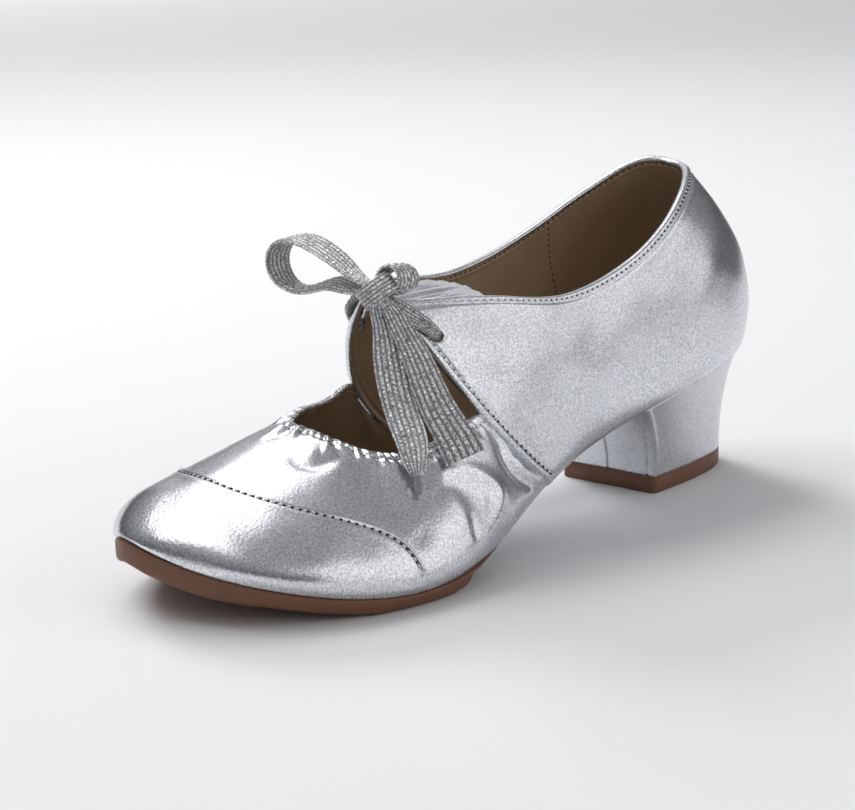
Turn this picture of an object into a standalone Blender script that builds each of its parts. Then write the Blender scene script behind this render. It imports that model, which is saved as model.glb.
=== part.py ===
"""Ballroom dance shoe: a left shoe in soft silver leather on a low block heel, tied over the instep.

The shoe is drawn on its own last, in millimetres: x runs from the back of the heel to the toe tip, y to
the outer side and z up from the floor. A parent empty then puts the origin on the floor under the middle
of the shoe. Every wall is a row of short profile curves, each from the feather edge (where the upper
meets the sole) up to an opening's edge, with the profiles splined into one surface.
"""

import bpy
import bmesh
import numpy as np
from mathutils import Vector

# Driving dimensions, in millimetres
LENGTH = 245.0
BALL_WIDTH = 81.0
HEEL_RISE = 41.4
TOE_SPRING = 16.4
COLLAR_HEIGHT = 105.4
THROAT_HEIGHT = 46.0
SOLE_THICKNESS = 4.6
LIFT_THICKNESS = 6.0
WALL = 1.6
QUARTER_STEP = 0.7
CAP_STEP = 0.6
GAP = 0.3
MM = 0.001

# The last's footprint at the feather edge: shares of LENGTH, BALL_WIDTH, HEEL_RISE and TOE_SPRING
FOOTPRINT = (
    # along, outer, inner, rise, spring
    (0.0000, 0.000, 0.000, 1.000, 0.000),
    (0.0065, 0.117, -0.111, 0.988, 0.000),
    (0.0245, 0.220, -0.210, 0.966, 0.000),
    (0.0570, 0.293, -0.279, 0.925, 0.000),
    (0.1140, 0.341, -0.323, 0.855, 0.000),
    (0.2040, 0.358, -0.333, 0.749, 0.000),
    (0.3265, 0.348, -0.296, 0.589, 0.000),
    (0.4490, 0.374, -0.265, 0.386, 0.000),
    (0.5714, 0.472, -0.315, 0.150, 0.000),
    (0.6940, 0.570, -0.426, 0.005, 0.000),
    (0.7960, 0.546, -0.481, 0.000, 0.000),
    (0.8860, 0.430, -0.463, 0.000, 0.225),
    (0.9510, 0.259, -0.377, 0.000, 0.524),
    (0.9857, 0.068, -0.259, 0.000, 0.793),
    (1.0000, -0.123, -0.123, 0.000, 1.000),
)

# Quarter profiles, on the outer (1), the inner (-1) or both sides (0): where each stands on the feather
# edge, where it ends at the collar (shares of LENGTH, BALL_WIDTH and COLLAR_HEIGHT), and how far its two
# handles bulge (millimetres)
QUARTER_PROFILES = (
    # side, foot, edge_along, edge_across, edge_up, out_low, up_low, out_high, up_high, ahead
    (1, 0.4776, 0.6430, 0.080, 0.746, 13.0, -2.0, 16.0, 4.0, 14.0),
    (-1, 0.4776, 0.6390, 0.080, 0.746, 13.0, -2.0, 13.0, 0.0, 11.0),
    (0, 0.3920, 0.5306, 0.281, 0.736, 8.0, 0.0, 7.0, 1.0, 2.0),
    (0, 0.2857, 0.4040, 0.321, 0.719, 6.0, 0.0, 5.5, 0.0, 0.0),
    (0, 0.1837, 0.2694, 0.311, 0.792, 5.5, 0.0, 5.5, 0.0, 0.0),
    (0, 0.0816, 0.1510, 0.230, 0.934, 7.0, 0.0, 6.5, 0.0, 0.0),
    (0, 0.0245, 0.0930, 0.118, 0.990, 8.0, 0.0, 7.5, 0.0, 0.0),
    (0, 0.0000, 0.0690, 0.000, 1.000, 8.0, 0.0, 8.0, 0.0, 0.0),
)
NOTCH = 0.47

# Vamp profiles: foot on the feather edge, then the throat's edge on the outer and on the inner side
# (shares of LENGTH, BALL_WIDTH and THROAT_HEIGHT), and the handles' bulge (millimetres)
VAMP_PROFILES = (
    # foot, outer along, across, up, inner along, across, up, out_low, up_low, out_high, up_high
    (0.592, 0.653, 0.352, 0.902, 0.612, -0.272, 1.043, 8.0, 1.0, 3.0, 4.0),
    (0.702, 0.706, 0.290, 0.843, 0.653, -0.228, 1.007, 9.0, 2.5, 1.5, 5.0),
    (0.804, 0.739, 0.173, 0.891, 0.694, -0.185, 1.000, 11.0, 3.0, 2.0, 5.5),
    (0.906, 0.755, 0.080, 0.948, 0.727, -0.142, 1.004, 14.0, 3.0, 3.0, 4.5),
    (0.976, 0.763, 0.006, 0.983, 0.751, -0.099, 1.004, 18.0, 2.0, 5.0, 2.0),
    (1.000, 0.765, -0.049, 0.998, 0.765, -0.049, 0.998, 20.0, 1.5, 5.3, 0.5),
)

# The toe cap's seam seen from above, from the outer feather edge to the inner one (millimetres)
CAP_SEAM = (
    # across, along
    (-45.0, 186.0),
    (-36.0, 196.0),
    (-28.0, 208.0),
    (-16.0, 217.5),
    (-5.0, 219.8),
    (10.0, 216.0),
    (30.0, 200.5),
    (41.0, 186.5),
    (48.0, 183.0),
)

# How finely curves are sampled and slopes are measured
LOOP_POWER = 0.75
LOOP_SAMPLES = 2001
SHARE_SAMPLES = 201
AROUND_STEP = 0.05
UP_STEP = 0.01
SLOPE_STEP = 1.0
SHARP_ANGLE = 35.0

# The upper's turned-under edge
CORNER_RADIUS = 2.2
CORNER_SHARE = 0.3
MARGIN = 12.0
WAIST_CLOSED = (62.0, 166.0)

# The upper's grid: columns as distances back from the front edge of the quarters and forward of it
QUARTER_COLUMNS = (0.0, 0.4, 4.0, 8.5, 14.0, 20.0, 26.0, 32.0, 38.0, 44.0, 50.0, 55.0,
                   61.0, 68.0, 75.0, 82.0, 89.0, 96.0, 102.0, 107.0, 111.0, 114.0, 116.0)
VAMP_COLUMNS = (6.0, 12.0, 18.0, 24.0, 30.0, 36.0, 42.0, 48.0)
SIDE_COLUMNS = 4
CAP_COLUMNS = 30
CAP_ROWS = 6
VAMP_ROWS = 8
WING_ROWS = 8
LOWEST_SEAM = 0.07
SEAM_STEP = 0.012
SEAM_COLUMN_STEP = 0.12

# Half sole, insole and heel
SOLE_BACK = 163.5
SOLE_INSET = 0.4
SOLE_TAPER = 1.0
BALL_FLAT = (170.0, 199.0)
SOLE_FRONT = (232.5, 236.0, 239.0, 241.2, 242.8, 244.0, 244.4)
INSOLE_THICKNESS = 2.0
INSOLE_INSET = 4.0
INSOLE_STATIONS = (4.4, 5.6, 8.0, 12.0, 18.0, 26.0, *range(36, 217, 10), 222.0, 227.0, 231.0, 234.0, 236.4)
HEEL_BREAST = 67.0
HEEL_INSET = 0.2
HEEL_LEVELS = 7
HEEL_POINTS = 15
HEEL_FLARE = 2.2
LIFT_BACK = 0.5
LIFT_BREAST = 56.0
LIFT_HALF_WIDTH = 19.5
LIFT_CENTRE = 2.4
LIFT_YAW = 5.8
HEEL_CORNER = 2.4
HEEL_CORNER_SEGMENTS = 3

# Eyelets, by their place on the quarter: where the profile stands (share of LENGTH) and how far up it
EYELET_FOOT = 0.4645
EYELET_SHARE = 0.84
EYELET_LONG = 3.4
EYELET_SHORT = 2.2
EYELET_SEGMENTS = 20

# Instep strap, between the two wings
STRAP_FEET = (0.394, 0.475)
STRAP_TUCK = (0.90, 0.94, 0.98)
STRAP_THICKNESS = 1.4
STRAP_CROWN = 2.0
STRAP_LEAD = 4.0
STRAP_ROWS = 8
STRAP_SPAN = 8

# Lace: a flat ribbon. Each route row is a point on its middle line and half of its width there, as a vector
LACE_THICKNESS = 1.0
BAR_HALF_WIDTH = 2.0
BAR_LIFT = 2.0
BAR_SHARES = (0.0, 0.33, 0.67, 1.0)
BAR_MIDDLE = (156.6, 0.0, 80.7)
KNOT_ROUTE = ((155.6, 3.0, 84.2), (157.8, 0.7, 84.6), (160.2, -1.8, 84.2))
KNOT_RADIUS = 2.8
BAR_SAMPLES = 24
LOOP_INNER_SAMPLES = 34
LOOP_OUTER_SAMPLES = 20
END_SAMPLES = 20
LOOP_INNER = (
    # x, y, z, half width along x, y, z
    (159.8, -5.4, 86.0, 2.6, 0.0, 0.0),
    (159.7, -13.0, 89.0, 3.9, 0.0, -0.4),
    (159.8, -22.0, 92.2, 4.2, 0.2, -0.6),
    (160.0, -31.0, 93.6, 4.2, 0.2, -0.4),
    (160.2, -37.8, 91.6, 4.2, 0.1, 0.0),
    (160.4, -41.0, 86.2, 4.2, 0.0, 0.2),
    (160.3, -38.6, 80.4, 4.2, 0.0, 0.3),
    (160.0, -32.5, 77.8, 4.2, -0.2, 0.0),
    (159.7, -24.0, 79.4, 4.0, -0.3, -1.0),
    (159.5, -15.0, 82.2, 3.6, -0.2, -1.2),
    (159.6, -5.8, 82.6, 2.6, 0.0, -0.6),
)
LOOP_OUTER = (
    # x, y, z, half width along x, y, z
    (151.2, -0.6, 86.0, 2.6, 0.0, 0.0),
    (150.4, 0.8, 89.0, 3.4, 0.0, 0.1),
    (149.8, 4.4, 90.6, 3.9, 0.0, 0.2),
    (149.4, 8.2, 89.4, 3.9, 0.0, 0.0),
    (149.2, 10.0, 86.0, 3.9, 0.0, -0.2),
    (149.4, 8.4, 82.8, 3.6, 0.0, -0.2),
    (150.0, 4.0, 81.5, 2.6, 0.0, 0.0),
)
END_FRONT = (
    # x, y, z, half width along x, y, z
    (162.0, 2.6, 81.4, -1.6, 1.6, 0.0),
    (163.0, 5.0, 74.8, -2.7, 2.6, 0.0),
    (164.8, 9.2, 65.5, -3.0, 2.9, 0.0),
    (167.4, 14.9, 55.0, -3.0, 2.9, 0.1),
    (170.0, 21.4, 46.0, -3.0, 2.9, 0.1),
    (172.3, 27.5, 40.4, -2.9, 2.9, -0.2),
    (174.3, 32.5, 34.8, -2.6, 2.3, -0.2),
    (175.2, 35.8, 29.8, -1.4, 1.2, -0.1),
)
END_BACK = (
    # x, y, z, half width along x, y, z
    (162.0, 8.0, 80.4, -1.4, 1.9, 0.6),
    (161.4, 12.6, 73.0, -2.5, 2.8, 0.6),
    (161.2, 18.0, 64.2, -2.9, 2.9, 0.5),
    (161.2, 24.4, 55.0, -3.1, 2.9, 0.4),
    (161.0, 30.0, 47.0, -3.4, 2.9, 0.6),
    (160.5, 34.6, 40.5, -3.8, 2.6, 1.0),
    (160.3, 37.4, 35.0, -4.2, 2.2, 1.2),
)


def spline(knots, values, at, closed=False):
    """Cubic spline through values at knots, natural at its ends or closed on itself."""
    knots = np.asarray(knots, float)
    values = np.asarray(values, float).reshape(len(knots), -1)
    at = np.asarray(at, float)
    count = len(knots)
    step = np.diff(knots)
    slope = np.diff(values, axis=0) / step[:, None]
    matrix = np.eye(count)
    right = np.zeros_like(values)
    for i in range(1, count - 1):
        matrix[i, i - 1:i + 2] = step[i - 1], 2 * (step[i - 1] + step[i]), step[i]
        right[i] = 6 * (slope[i] - slope[i - 1])
    if closed:
        matrix[0, [0, 1, -2]] = 2 * (step[0] + step[-1]), step[0], step[-1]
        right[0] = 6 * (slope[0] - slope[-1])
        matrix[-1, 0] = -1
        at = knots[0] + np.mod(at - knots[0], knots[-1] - knots[0])
    second = np.linalg.solve(matrix, right)
    i = np.clip(np.searchsorted(knots, at, side="right") - 1, 0, count - 2)
    h = step[i][..., None]
    b = (at - knots[i])[..., None] / h
    a = 1 - b
    bend = (a ** 3 - a) * second[i] + (b ** 3 - b) * second[i + 1]
    return a * values[i] + b * values[i + 1] + bend * h ** 2 / 6


def bezier(controls, t):
    """Point on a cubic Bezier curve."""
    t = np.asarray(t, float)[..., None]
    s = 1 - t
    low = s ** 3 * controls[..., 0, :] + 3 * s * s * t * controls[..., 1, :]
    return low + 3 * s * t * t * controls[..., 2, :] + t ** 3 * controls[..., 3, :]


def first_part(controls, t):
    """Control points of the part of a cubic Bezier curve from 0 to t."""
    a = controls[:-1] + (controls[1:] - controls[:-1]) * t
    b = a[:-1] + (a[1:] - a[:-1]) * t
    c = b[0] + (b[1] - b[0]) * t
    return np.stack([controls[0], a[0], b[0], c])


# The feather edge, a closed loop from the heel back round the outer side and the toe to the inner side

FOOT = np.array(FOOTPRINT)
FEATHER_X = FOOT[:, 0] * LENGTH
FEATHER_Z = SOLE_THICKNESS + FOOT[:, 3] * HEEL_RISE + FOOT[:, 4] * TOE_SPRING
OUTER_EDGE = np.stack([FEATHER_X, FOOT[:, 1] * BALL_WIDTH, FEATHER_Z], 1)
INNER_EDGE = np.stack([FEATHER_X, FOOT[:, 2] * BALL_WIDTH, FEATHER_Z], 1)
LOOP = np.vstack([OUTER_EDGE, INNER_EDGE[-2::-1]])
LOOP_STEPS = np.linalg.norm(np.diff(LOOP[:, :2], axis=0), axis=1) ** LOOP_POWER
LOOP_KNOTS = np.concatenate([[0], np.cumsum(LOOP_STEPS)])
LOOP_TIP = LOOP_KNOTS[len(OUTER_EDGE) - 1]
LOOP_END = LOOP_KNOTS[-1]


def feather(u):
    """Point of the feather edge at loop parameter u."""
    return spline(LOOP_KNOTS, LOOP, u, closed=True)


def outward(u):
    """Horizontal direction away from the foot at the feather edge."""
    along = feather(np.asarray(u) + AROUND_STEP) - feather(np.asarray(u) - AROUND_STEP)
    normal = np.stack([-along[..., 1], along[..., 0], 0 * along[..., 0]], -1)
    return normal / np.linalg.norm(normal, axis=-1, keepdims=True)


def loop_at(x, side):
    """Loop parameter where the feather edge passes x on the outer (1) or inner (-1) side."""
    samples = np.linspace(0 if side > 0 else LOOP_END, LOOP_TIP, LOOP_SAMPLES)
    return np.interp(x, feather(samples)[:, 0], samples)


def floor_line(x):
    """Height of the feather edge, and of the whole underside of the foot, at x."""
    edge = feather(np.linspace(0, LOOP_TIP, LOOP_SAMPLES))
    return np.interp(x, edge[:, 0], edge[:, 2])


def above_floor_line(x, distance):
    """Height of a surface that lies the given distance off the underside, measured square to it."""
    slope = (floor_line(x + SLOPE_STEP) - floor_line(x - SLOPE_STEP)) / (2 * SLOPE_STEP)
    return floor_line(x) + distance * np.hypot(1, slope)


def inset_edge(x, side, inset):
    """Distance across, at x, of the feather edge moved inward."""
    samples = np.linspace(0 if side > 0 else LOOP_END, LOOP_TIP, LOOP_SAMPLES)
    edge = feather(samples) - outward(samples) * inset
    return np.interp(x, edge[:, 0], edge[:, 1])


# The upper's two panels: each is a run of profiles, splined control point by control point

def profile(u, edge, out_low, up_low, out_high, up_high, ahead=0.0):
    """Control points of one profile from the feather edge to an opening's edge."""
    foot = feather(u)
    out = outward(u)
    up = np.array([0.0, 0.0, 1.0])
    lean = np.array([ahead, 0.0, 0.0])
    low = foot + (edge - foot) / 3 + out * out_low + up * up_low + lean
    high = foot + (edge - foot) * 2 / 3 + out * out_high + up * up_high + lean
    return np.stack([foot, low, high, edge])


def quarter_profiles():
    """Loop parameters and profiles from the inner front edge, round the heel, to the outer front edge."""
    inner = [row for row in QUARTER_PROFILES if row[0] <= 0]
    outer = [row for row in QUARTER_PROFILES if row[0] >= 0]
    knots = []
    profiles = []
    for side, rows in ((-1, inner), (1, outer[-2::-1])):
        for _, foot, along, across, up, *handles in rows:
            u = loop_at(foot * LENGTH, side) if foot > 0 else LOOP_END
            edge = np.array([along * LENGTH, side * across * BALL_WIDTH, up * COLLAR_HEIGHT])
            knots.append(u - LOOP_END if side < 0 else u)
            profiles.append(profile(u, edge, *handles))
    return np.array(knots), np.array(profiles)


QUARTER_KNOTS, QUARTER_CONTROLS = quarter_profiles()


def vamp_profiles():
    """Loop parameters and profiles from the outer notch, round the toe, to the inner notch."""
    knots = [QUARTER_KNOTS[-1]]
    profiles = [first_part(QUARTER_CONTROLS[-1], NOTCH)]
    scale = np.array([LENGTH, BALL_WIDTH, THROAT_HEIGHT])
    for side, rows in ((1, VAMP_PROFILES), (-1, VAMP_PROFILES[-2::-1])):
        for row in rows:
            edge = np.array(row[1:4] if side > 0 else row[4:7]) * scale
            knots.append(loop_at(row[0] * LENGTH, side))
            profiles.append(profile(knots[-1], edge, *row[7:]))
    knots.append(QUARTER_KNOTS[0] + LOOP_END)
    profiles.append(first_part(QUARTER_CONTROLS[0], NOTCH))
    return np.array(knots), np.array(profiles)


VAMP_KNOTS, VAMP_CONTROLS = vamp_profiles()


def splined_controls(u, knots, controls):
    """Profile at any loop parameter: its foot is on the feather edge, its other points are splined."""
    u = np.asarray(u, float)
    rest = spline(knots, controls[:, 1:].reshape(len(knots), 9), u).reshape(u.shape + (3, 3))
    return np.concatenate([feather(u)[..., None, :], rest], -2)


def quarter(u, t):
    """Outer surface of the quarters, t from the feather edge (0) to the collar (1)."""
    return bezier(splined_controls(u, QUARTER_KNOTS, QUARTER_CONTROLS), t)


def vamp(u, t):
    """Outer surface of the vamp, t from the feather edge (0) to the throat (1)."""
    return bezier(splined_controls(u, VAMP_KNOTS, VAMP_CONTROLS), t)


def quarter_at(foot, side):
    """The quarters' loop parameter at a share of LENGTH on the outer (1) or inner (-1) side."""
    return loop_at(foot * LENGTH, side) - (LOOP_END if side < 0 else 0.0)


def quarter_normal(u, t):
    """Direction out of the quarters' surface."""
    around = quarter(u + AROUND_STEP, t) - quarter(u - AROUND_STEP, t)
    up = quarter(u, np.asarray(t)) - quarter(u, np.asarray(t) - UP_STEP)
    normal = np.cross(up, around)
    return normal / np.linalg.norm(normal, axis=-1, keepdims=True)


def cap_line(across):
    """How far forward the toe cap's seam lies, seen from above."""
    across = np.asarray(across, float)
    seam = np.array(CAP_SEAM)
    return spline(seam[:, 0], seam[:, 1], np.clip(across, seam[0, 0], seam[-1, 0]))[..., 0]


def cap_share(u, least):
    """Share of the vamp's profile at u that the toe cap covers, at least the given one."""
    t = np.linspace(0, 1, SHARE_SAMPLES)
    points = vamp(np.full(t.shape, u), t)
    ahead = points[:, 0] > cap_line(points[:, 1])
    return max(least, t[ahead].max()) if ahead[0] else least


# Blender helpers

def material(name, colour, roughness, metallic):
    """A plain Principled BSDF material."""
    made = bpy.data.materials.new(name)
    made.use_nodes = True
    shader = made.node_tree.nodes["Principled BSDF"]
    shader.inputs["Base Color"].default_value = (*colour, 1.0)
    shader.inputs["Roughness"].default_value = roughness
    shader.inputs["Metallic"].default_value = metallic
    return made


def add_object(name, mesh, finish, collection, parent):
    """Put a mesh into the scene as one named sub-part."""
    made = bpy.data.objects.new(name, mesh)
    mesh.materials.append(finish)
    mesh.shade_smooth()
    mesh.set_sharp_from_angle(angle=np.radians(SHARP_ANGLE))
    collection.objects.link(made)
    made.parent = parent
    return made


def mesh_from(bm, name):
    """Turn a bmesh in millimetres into a mesh in metres."""
    bmesh.ops.remove_doubles(bm, verts=bm.verts, dist=0.001)
    bmesh.ops.scale(bm, vec=(MM, MM, MM), verts=bm.verts)
    mesh = bpy.data.meshes.new(name)
    bm.to_mesh(mesh)
    bm.free()
    return mesh


def add_grid(bm, points):
    """Quads between neighbouring rows and columns of points."""
    verts = [[bm.verts.new(point) for point in row] for row in points]
    for low, high in zip(verts, verts[1:]):
        for a, b, c, d in zip(low, low[1:], high[1:], high):
            bm.faces.new((a, b, c, d))
    return verts


# Sub-parts

def upper_columns():
    """Loop parameters of the grid's columns, for the quarters and for the vamp, and the toe cap's range."""
    front = QUARTER_PROFILES[0][1] * LENGTH
    inner = [loop_at(front - step, -1) - LOOP_END for step in QUARTER_COLUMNS]
    outer = [loop_at(front - step, 1) for step in QUARTER_COLUMNS[::-1]]
    outer_vamp = [loop_at(front + step, 1) for step in VAMP_COLUMNS]
    inner_vamp = [loop_at(front + step, -1) for step in VAMP_COLUMNS[::-1]]
    toe = np.linspace(outer_vamp[-1], inner_vamp[0], LOOP_SAMPLES)
    edge = feather(toe)
    capped = toe[edge[:, 0] > cap_line(edge[:, 1])]
    cap = (capped[0], capped[-1])
    before = np.linspace(outer_vamp[-1], cap[0] - SEAM_COLUMN_STEP, SIDE_COLUMNS + 1)[1:]
    after = np.linspace(cap[1] + SEAM_COLUMN_STEP, inner_vamp[0], SIDE_COLUMNS + 1)[:-1]
    turn = np.cos(np.linspace(0, np.pi, CAP_COLUMNS))
    over = 0.5 * (cap[0] + cap[1]) - 0.5 * (cap[1] - cap[0]) * turn
    vamps = [*outer_vamp, *before, *over, *after, *inner_vamp]
    return [*inner, 0.0, *outer], vamps, cap


def turned_under(u):
    """Points of one column under the foot, from the open edge or the waist's middle out to the corner."""
    foot = feather(u)
    side = 1 if 0 < np.mod(u, LOOP_END) < LOOP_TIP else -1
    end = foot - outward(u) * MARGIN
    if WAIST_CLOSED[0] < foot[0] < WAIST_CLOSED[1]:
        end = 0.5 * (foot + feather(loop_at(foot[0], -side)))
    inward = (end - foot)[:2] / np.linalg.norm((end - foot)[:2])
    reach = np.linalg.norm((end - foot)[:2])
    points = []
    for distance in (reach, 0.5 * (reach + CORNER_RADIUS), CORNER_RADIUS):
        x, y = foot[:2] + inward * distance
        points.append((x, y, floor_line(x)))
    step = CORNER_SHARE * CORNER_RADIUS
    points.append((*(foot[:2] + inward * step), foot[2] + step))
    return points


def upper_column(u, in_quarter, cap):
    """Points of one column of the upper's outer surface, with the wall's thickness at each."""
    knots, controls = (QUARTER_KNOTS, QUARTER_CONTROLS) if in_quarter else (VAMP_KNOTS, VAMP_CONTROLS)
    shape = splined_controls(u, knots, controls)
    seam = LOWEST_SEAM if in_quarter else cap_share(u, LOWEST_SEAM)
    shares = np.concatenate([np.linspace(0, seam, CAP_ROWS), np.linspace(seam + SEAM_STEP, 1, VAMP_ROWS)])
    start = CORNER_RADIUS / (3 * (shape[1] - shape[0])[2])
    t = start + (NOTCH if in_quarter else 1.0) * (1 - start) * shares
    if in_quarter:
        t = np.concatenate([t, np.linspace(t[-1], 1, WING_ROWS + 1)[1:]])
    under = turned_under(u)
    wall = np.full(len(under) + len(t), WALL)
    if in_quarter:
        wall[len(under):] += QUARTER_STEP
    elif cap[0] <= u <= cap[1]:
        wall[len(under):len(under) + CAP_ROWS] += CAP_STEP
    return np.vstack([under, bezier(np.broadcast_to(shape, t.shape + (4, 3)), t)]), wall


def eyelet_cutter(side, collection, parent):
    """Oval pin through the wall where the lace goes in."""
    u = quarter_at(EYELET_FOOT, side)
    centre = quarter(u, EYELET_SHARE)
    out = quarter_normal(u, EYELET_SHARE)
    along = quarter(u, EYELET_SHARE + UP_STEP) - centre
    bm = bmesh.new()
    bmesh.ops.create_cone(bm, cap_ends=True, segments=EYELET_SEGMENTS, radius1=1, radius2=1, depth=5 * WALL)
    slide = np.cross(along, out)
    slide = slide / np.linalg.norm(slide)
    climb = np.cross(out, slide)
    for vert in bm.verts:
        a, b, c = vert.co
        vert.co = Vector(centre + slide * a * EYELET_LONG + climb * b * EYELET_SHORT + out * c)
    name = "eyelet_cutter_outer" if side > 0 else "eyelet_cutter_inner"
    made = bpy.data.objects.new(name, mesh_from(bm, name))
    collection.objects.link(made)
    made.parent = parent
    made.hide_render = True
    made.display_type = "WIRE"
    return made


def make_upper(finish, collection, cutters, parent):
    """The upper: one wall over the vamp, the toe cap and the quarters, open at collar, throat and sole."""
    quarters, vamps, cap = upper_columns()
    columns = [upper_column(u, True, cap) for u in quarters] + [upper_column(u, False, cap) for u in vamps]
    for front in (0, len(quarters) - 1):
        columns[front][1][:] = WALL
    thickest = WALL + max(QUARTER_STEP, CAP_STEP)
    bm = bmesh.new()
    group = bm.verts.layers.deform.verify()
    verts = []
    for points, wall in columns:
        verts.append([bm.verts.new(point) for point in points])
        for vert, thick in zip(verts[-1], wall):
            vert[group][0] = thick / thickest
    for left, right in zip(verts, verts[1:] + verts[:1]):
        for k in range(min(len(left), len(right)) - 1):
            bm.faces.new((left[k], left[k + 1], right[k + 1], right[k]))
    bmesh.ops.remove_doubles(bm, verts=bm.verts, dist=0.01)
    bm.normal_update()
    for vert in bm.verts:
        vert.co -= vert.normal * WALL
    made = add_object("upper", mesh_from(bm, "upper"), finish, collection, parent)
    made.vertex_groups.new(name="wall")
    shell = made.modifiers.new("wall", "SOLIDIFY")
    shell.thickness = thickest * MM
    shell.offset = 1.0
    shell.vertex_group = "wall"
    shell.use_even_offset = True
    for side in (1, -1):
        hole = made.modifiers.new("eyelet", "BOOLEAN")
        hole.object = eyelet_cutter(side, cutters, parent)
        hole.operation = "DIFFERENCE"
    return made


def paired_plate(bm, stations, top, bottom, taper=0.0, inset=0.0):
    """Plate between the outer and inner feather edge, with a pair of points at each station along x."""
    rings = []
    for x in stations:
        high = [(x, inset_edge(x, side, inset), top(x)) for side in (1, -1)]
        low = [(x, inset_edge(x, side, inset + taper), bottom(x)) for side in (-1, 1)]
        rings.append([bm.verts.new(point) for point in high + low])
    for a, b in zip(rings, rings[1:]):
        for k in range(4):
            j = (k + 1) % 4
            bm.faces.new((a[k], a[j], b[j], b[k]))
    bm.faces.new(rings[0][::-1])
    bm.faces.new(rings[-1])


def make_insole(finish, collection, parent):
    """The board that the foot stands on, just inside the upper's turned-under edge."""
    bm = bmesh.new()

    def low(x):
        return above_floor_line(x, WALL + GAP)

    def high(x):
        return above_floor_line(x, WALL + GAP + INSOLE_THICKNESS)

    paired_plate(bm, INSOLE_STATIONS, high, low, inset=INSOLE_INSET)
    bmesh.ops.recalc_face_normals(bm, faces=bm.faces)
    return add_object("insole", mesh_from(bm, "insole"), finish, collection, parent)


def make_outsole(finish, collection, parent):
    """The rubber half sole: flat under the ball, then rising with the toe spring."""
    bm = bmesh.new()
    stations = np.concatenate([np.linspace(SOLE_BACK, BALL_FLAT[0], 4), np.linspace(*BALL_FLAT, 6)[1:],
                               np.linspace(BALL_FLAT[1], SOLE_FRONT[0], 9)[1:], SOLE_FRONT[1:]])

    def high(x):
        return above_floor_line(x, -GAP)

    def low(x):
        if BALL_FLAT[0] <= x <= BALL_FLAT[1]:
            return 0.0
        return max(0.0, floor_line(x) - SOLE_THICKNESS)

    paired_plate(bm, stations, high, low, taper=SOLE_TAPER, inset=SOLE_INSET)
    bmesh.ops.recalc_face_normals(bm, faces=bm.faces)
    return add_object("outsole_forefoot", mesh_from(bm, "outsole_forefoot"), finish, collection, parent)


def heel_outline():
    """Seat and lift outlines of the heel, point for point, from the outer breast corner round the back."""
    x = HEEL_INSET + (HEEL_BREAST - HEEL_INSET) * (1 - np.cos(np.linspace(0, np.pi / 2, HEEL_POINTS)))
    outer = [(at, inset_edge(at, 1, HEEL_INSET)) for at in x[::-1]]
    inner = [(at, inset_edge(at, -1, HEEL_INSET)) for at in x[1:]]
    seat = np.array(outer + inner)
    half = 0.5 * (seat[:, 1].max() - seat[:, 1].min())
    middle = 0.5 * (seat[:, 1].max() + seat[:, 1].min())
    lift = np.empty_like(seat)
    lift[:, 0] = LIFT_BACK + seat[:, 0] / HEEL_BREAST * (LIFT_BREAST - LIFT_BACK)
    lift[:, 1] = (seat[:, 1] - middle) * LIFT_HALF_WIDTH / half
    turn = np.radians(LIFT_YAW)
    across = lift[:, 1].copy()
    arm = lift[:, 0] - LIFT_BREAST
    lift[:, 0] = LIFT_BREAST + arm * np.cos(turn) - across * np.sin(turn)
    lift[:, 1] = LIFT_CENTRE + arm * np.sin(turn) + across * np.cos(turn)
    return seat, lift


def ring_solid(bm, rings):
    """Closed solid through D-shaped rings, flat across the breast, top and bottom in strips."""
    verts = [[bm.verts.new(point) for point in ring] for ring in rings]
    weight = bm.edges.layers.float.new("bevel_weight_edge")
    count = len(verts[0])
    for low, high in zip(verts, verts[1:]):
        for k in range(count):
            j = (k + 1) % count
            bm.faces.new((low[k], low[j], high[j], high[k]))
    for ring in (verts[0], verts[-1]):
        for k in range(count // 2):
            a, b, c, d = ring[k], ring[k + 1], ring[count - 2 - k], ring[count - 1 - k]
            bm.faces.new((a, b, c, d) if b is not c else (a, b, d))
    for low, high in zip(verts, verts[1:]):
        for k in (0, count - 1):
            bm.edges.get((low[k], high[k]))[weight] = 1.0
    bmesh.ops.recalc_face_normals(bm, faces=bm.faces)


def round_corners(made):
    """Round the two upright corners of the heel's breast."""
    bevel = made.modifiers.new("breast corners", "BEVEL")
    bevel.limit_method = "WEIGHT"
    bevel.width = HEEL_CORNER * MM
    bevel.segments = HEEL_CORNER_SEGMENTS


def make_heel(finish, collection, parent):
    """The block heel: it flares from the lift to the seat in a hollow curve."""
    seat, lift = heel_outline()
    rings = []
    for share in np.linspace(0, 1, HEEL_LEVELS):
        plan = lift + (seat - lift) * share ** HEEL_FLARE
        top = above_floor_line(seat[:, 0], -GAP)
        height = LIFT_THICKNESS + (top - LIFT_THICKNESS) * share
        rings.append(np.column_stack([plan, height]))
    bm = bmesh.new()
    ring_solid(bm, rings)
    made = add_object("heel_block", mesh_from(bm, "heel_block"), finish, collection, parent)
    round_corners(made)
    return made


def make_lift(finish, collection, parent):
    """The lift that the heel stands on."""
    lift = heel_outline()[1]
    rings = [np.column_stack([lift, np.full(len(lift), height)]) for height in (0.0, LIFT_THICKNESS - GAP)]
    bm = bmesh.new()
    ring_solid(bm, rings)
    made = add_object("heel_top_lift", mesh_from(bm, "heel_top_lift"), finish, collection, parent)
    round_corners(made)
    return made


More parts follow.
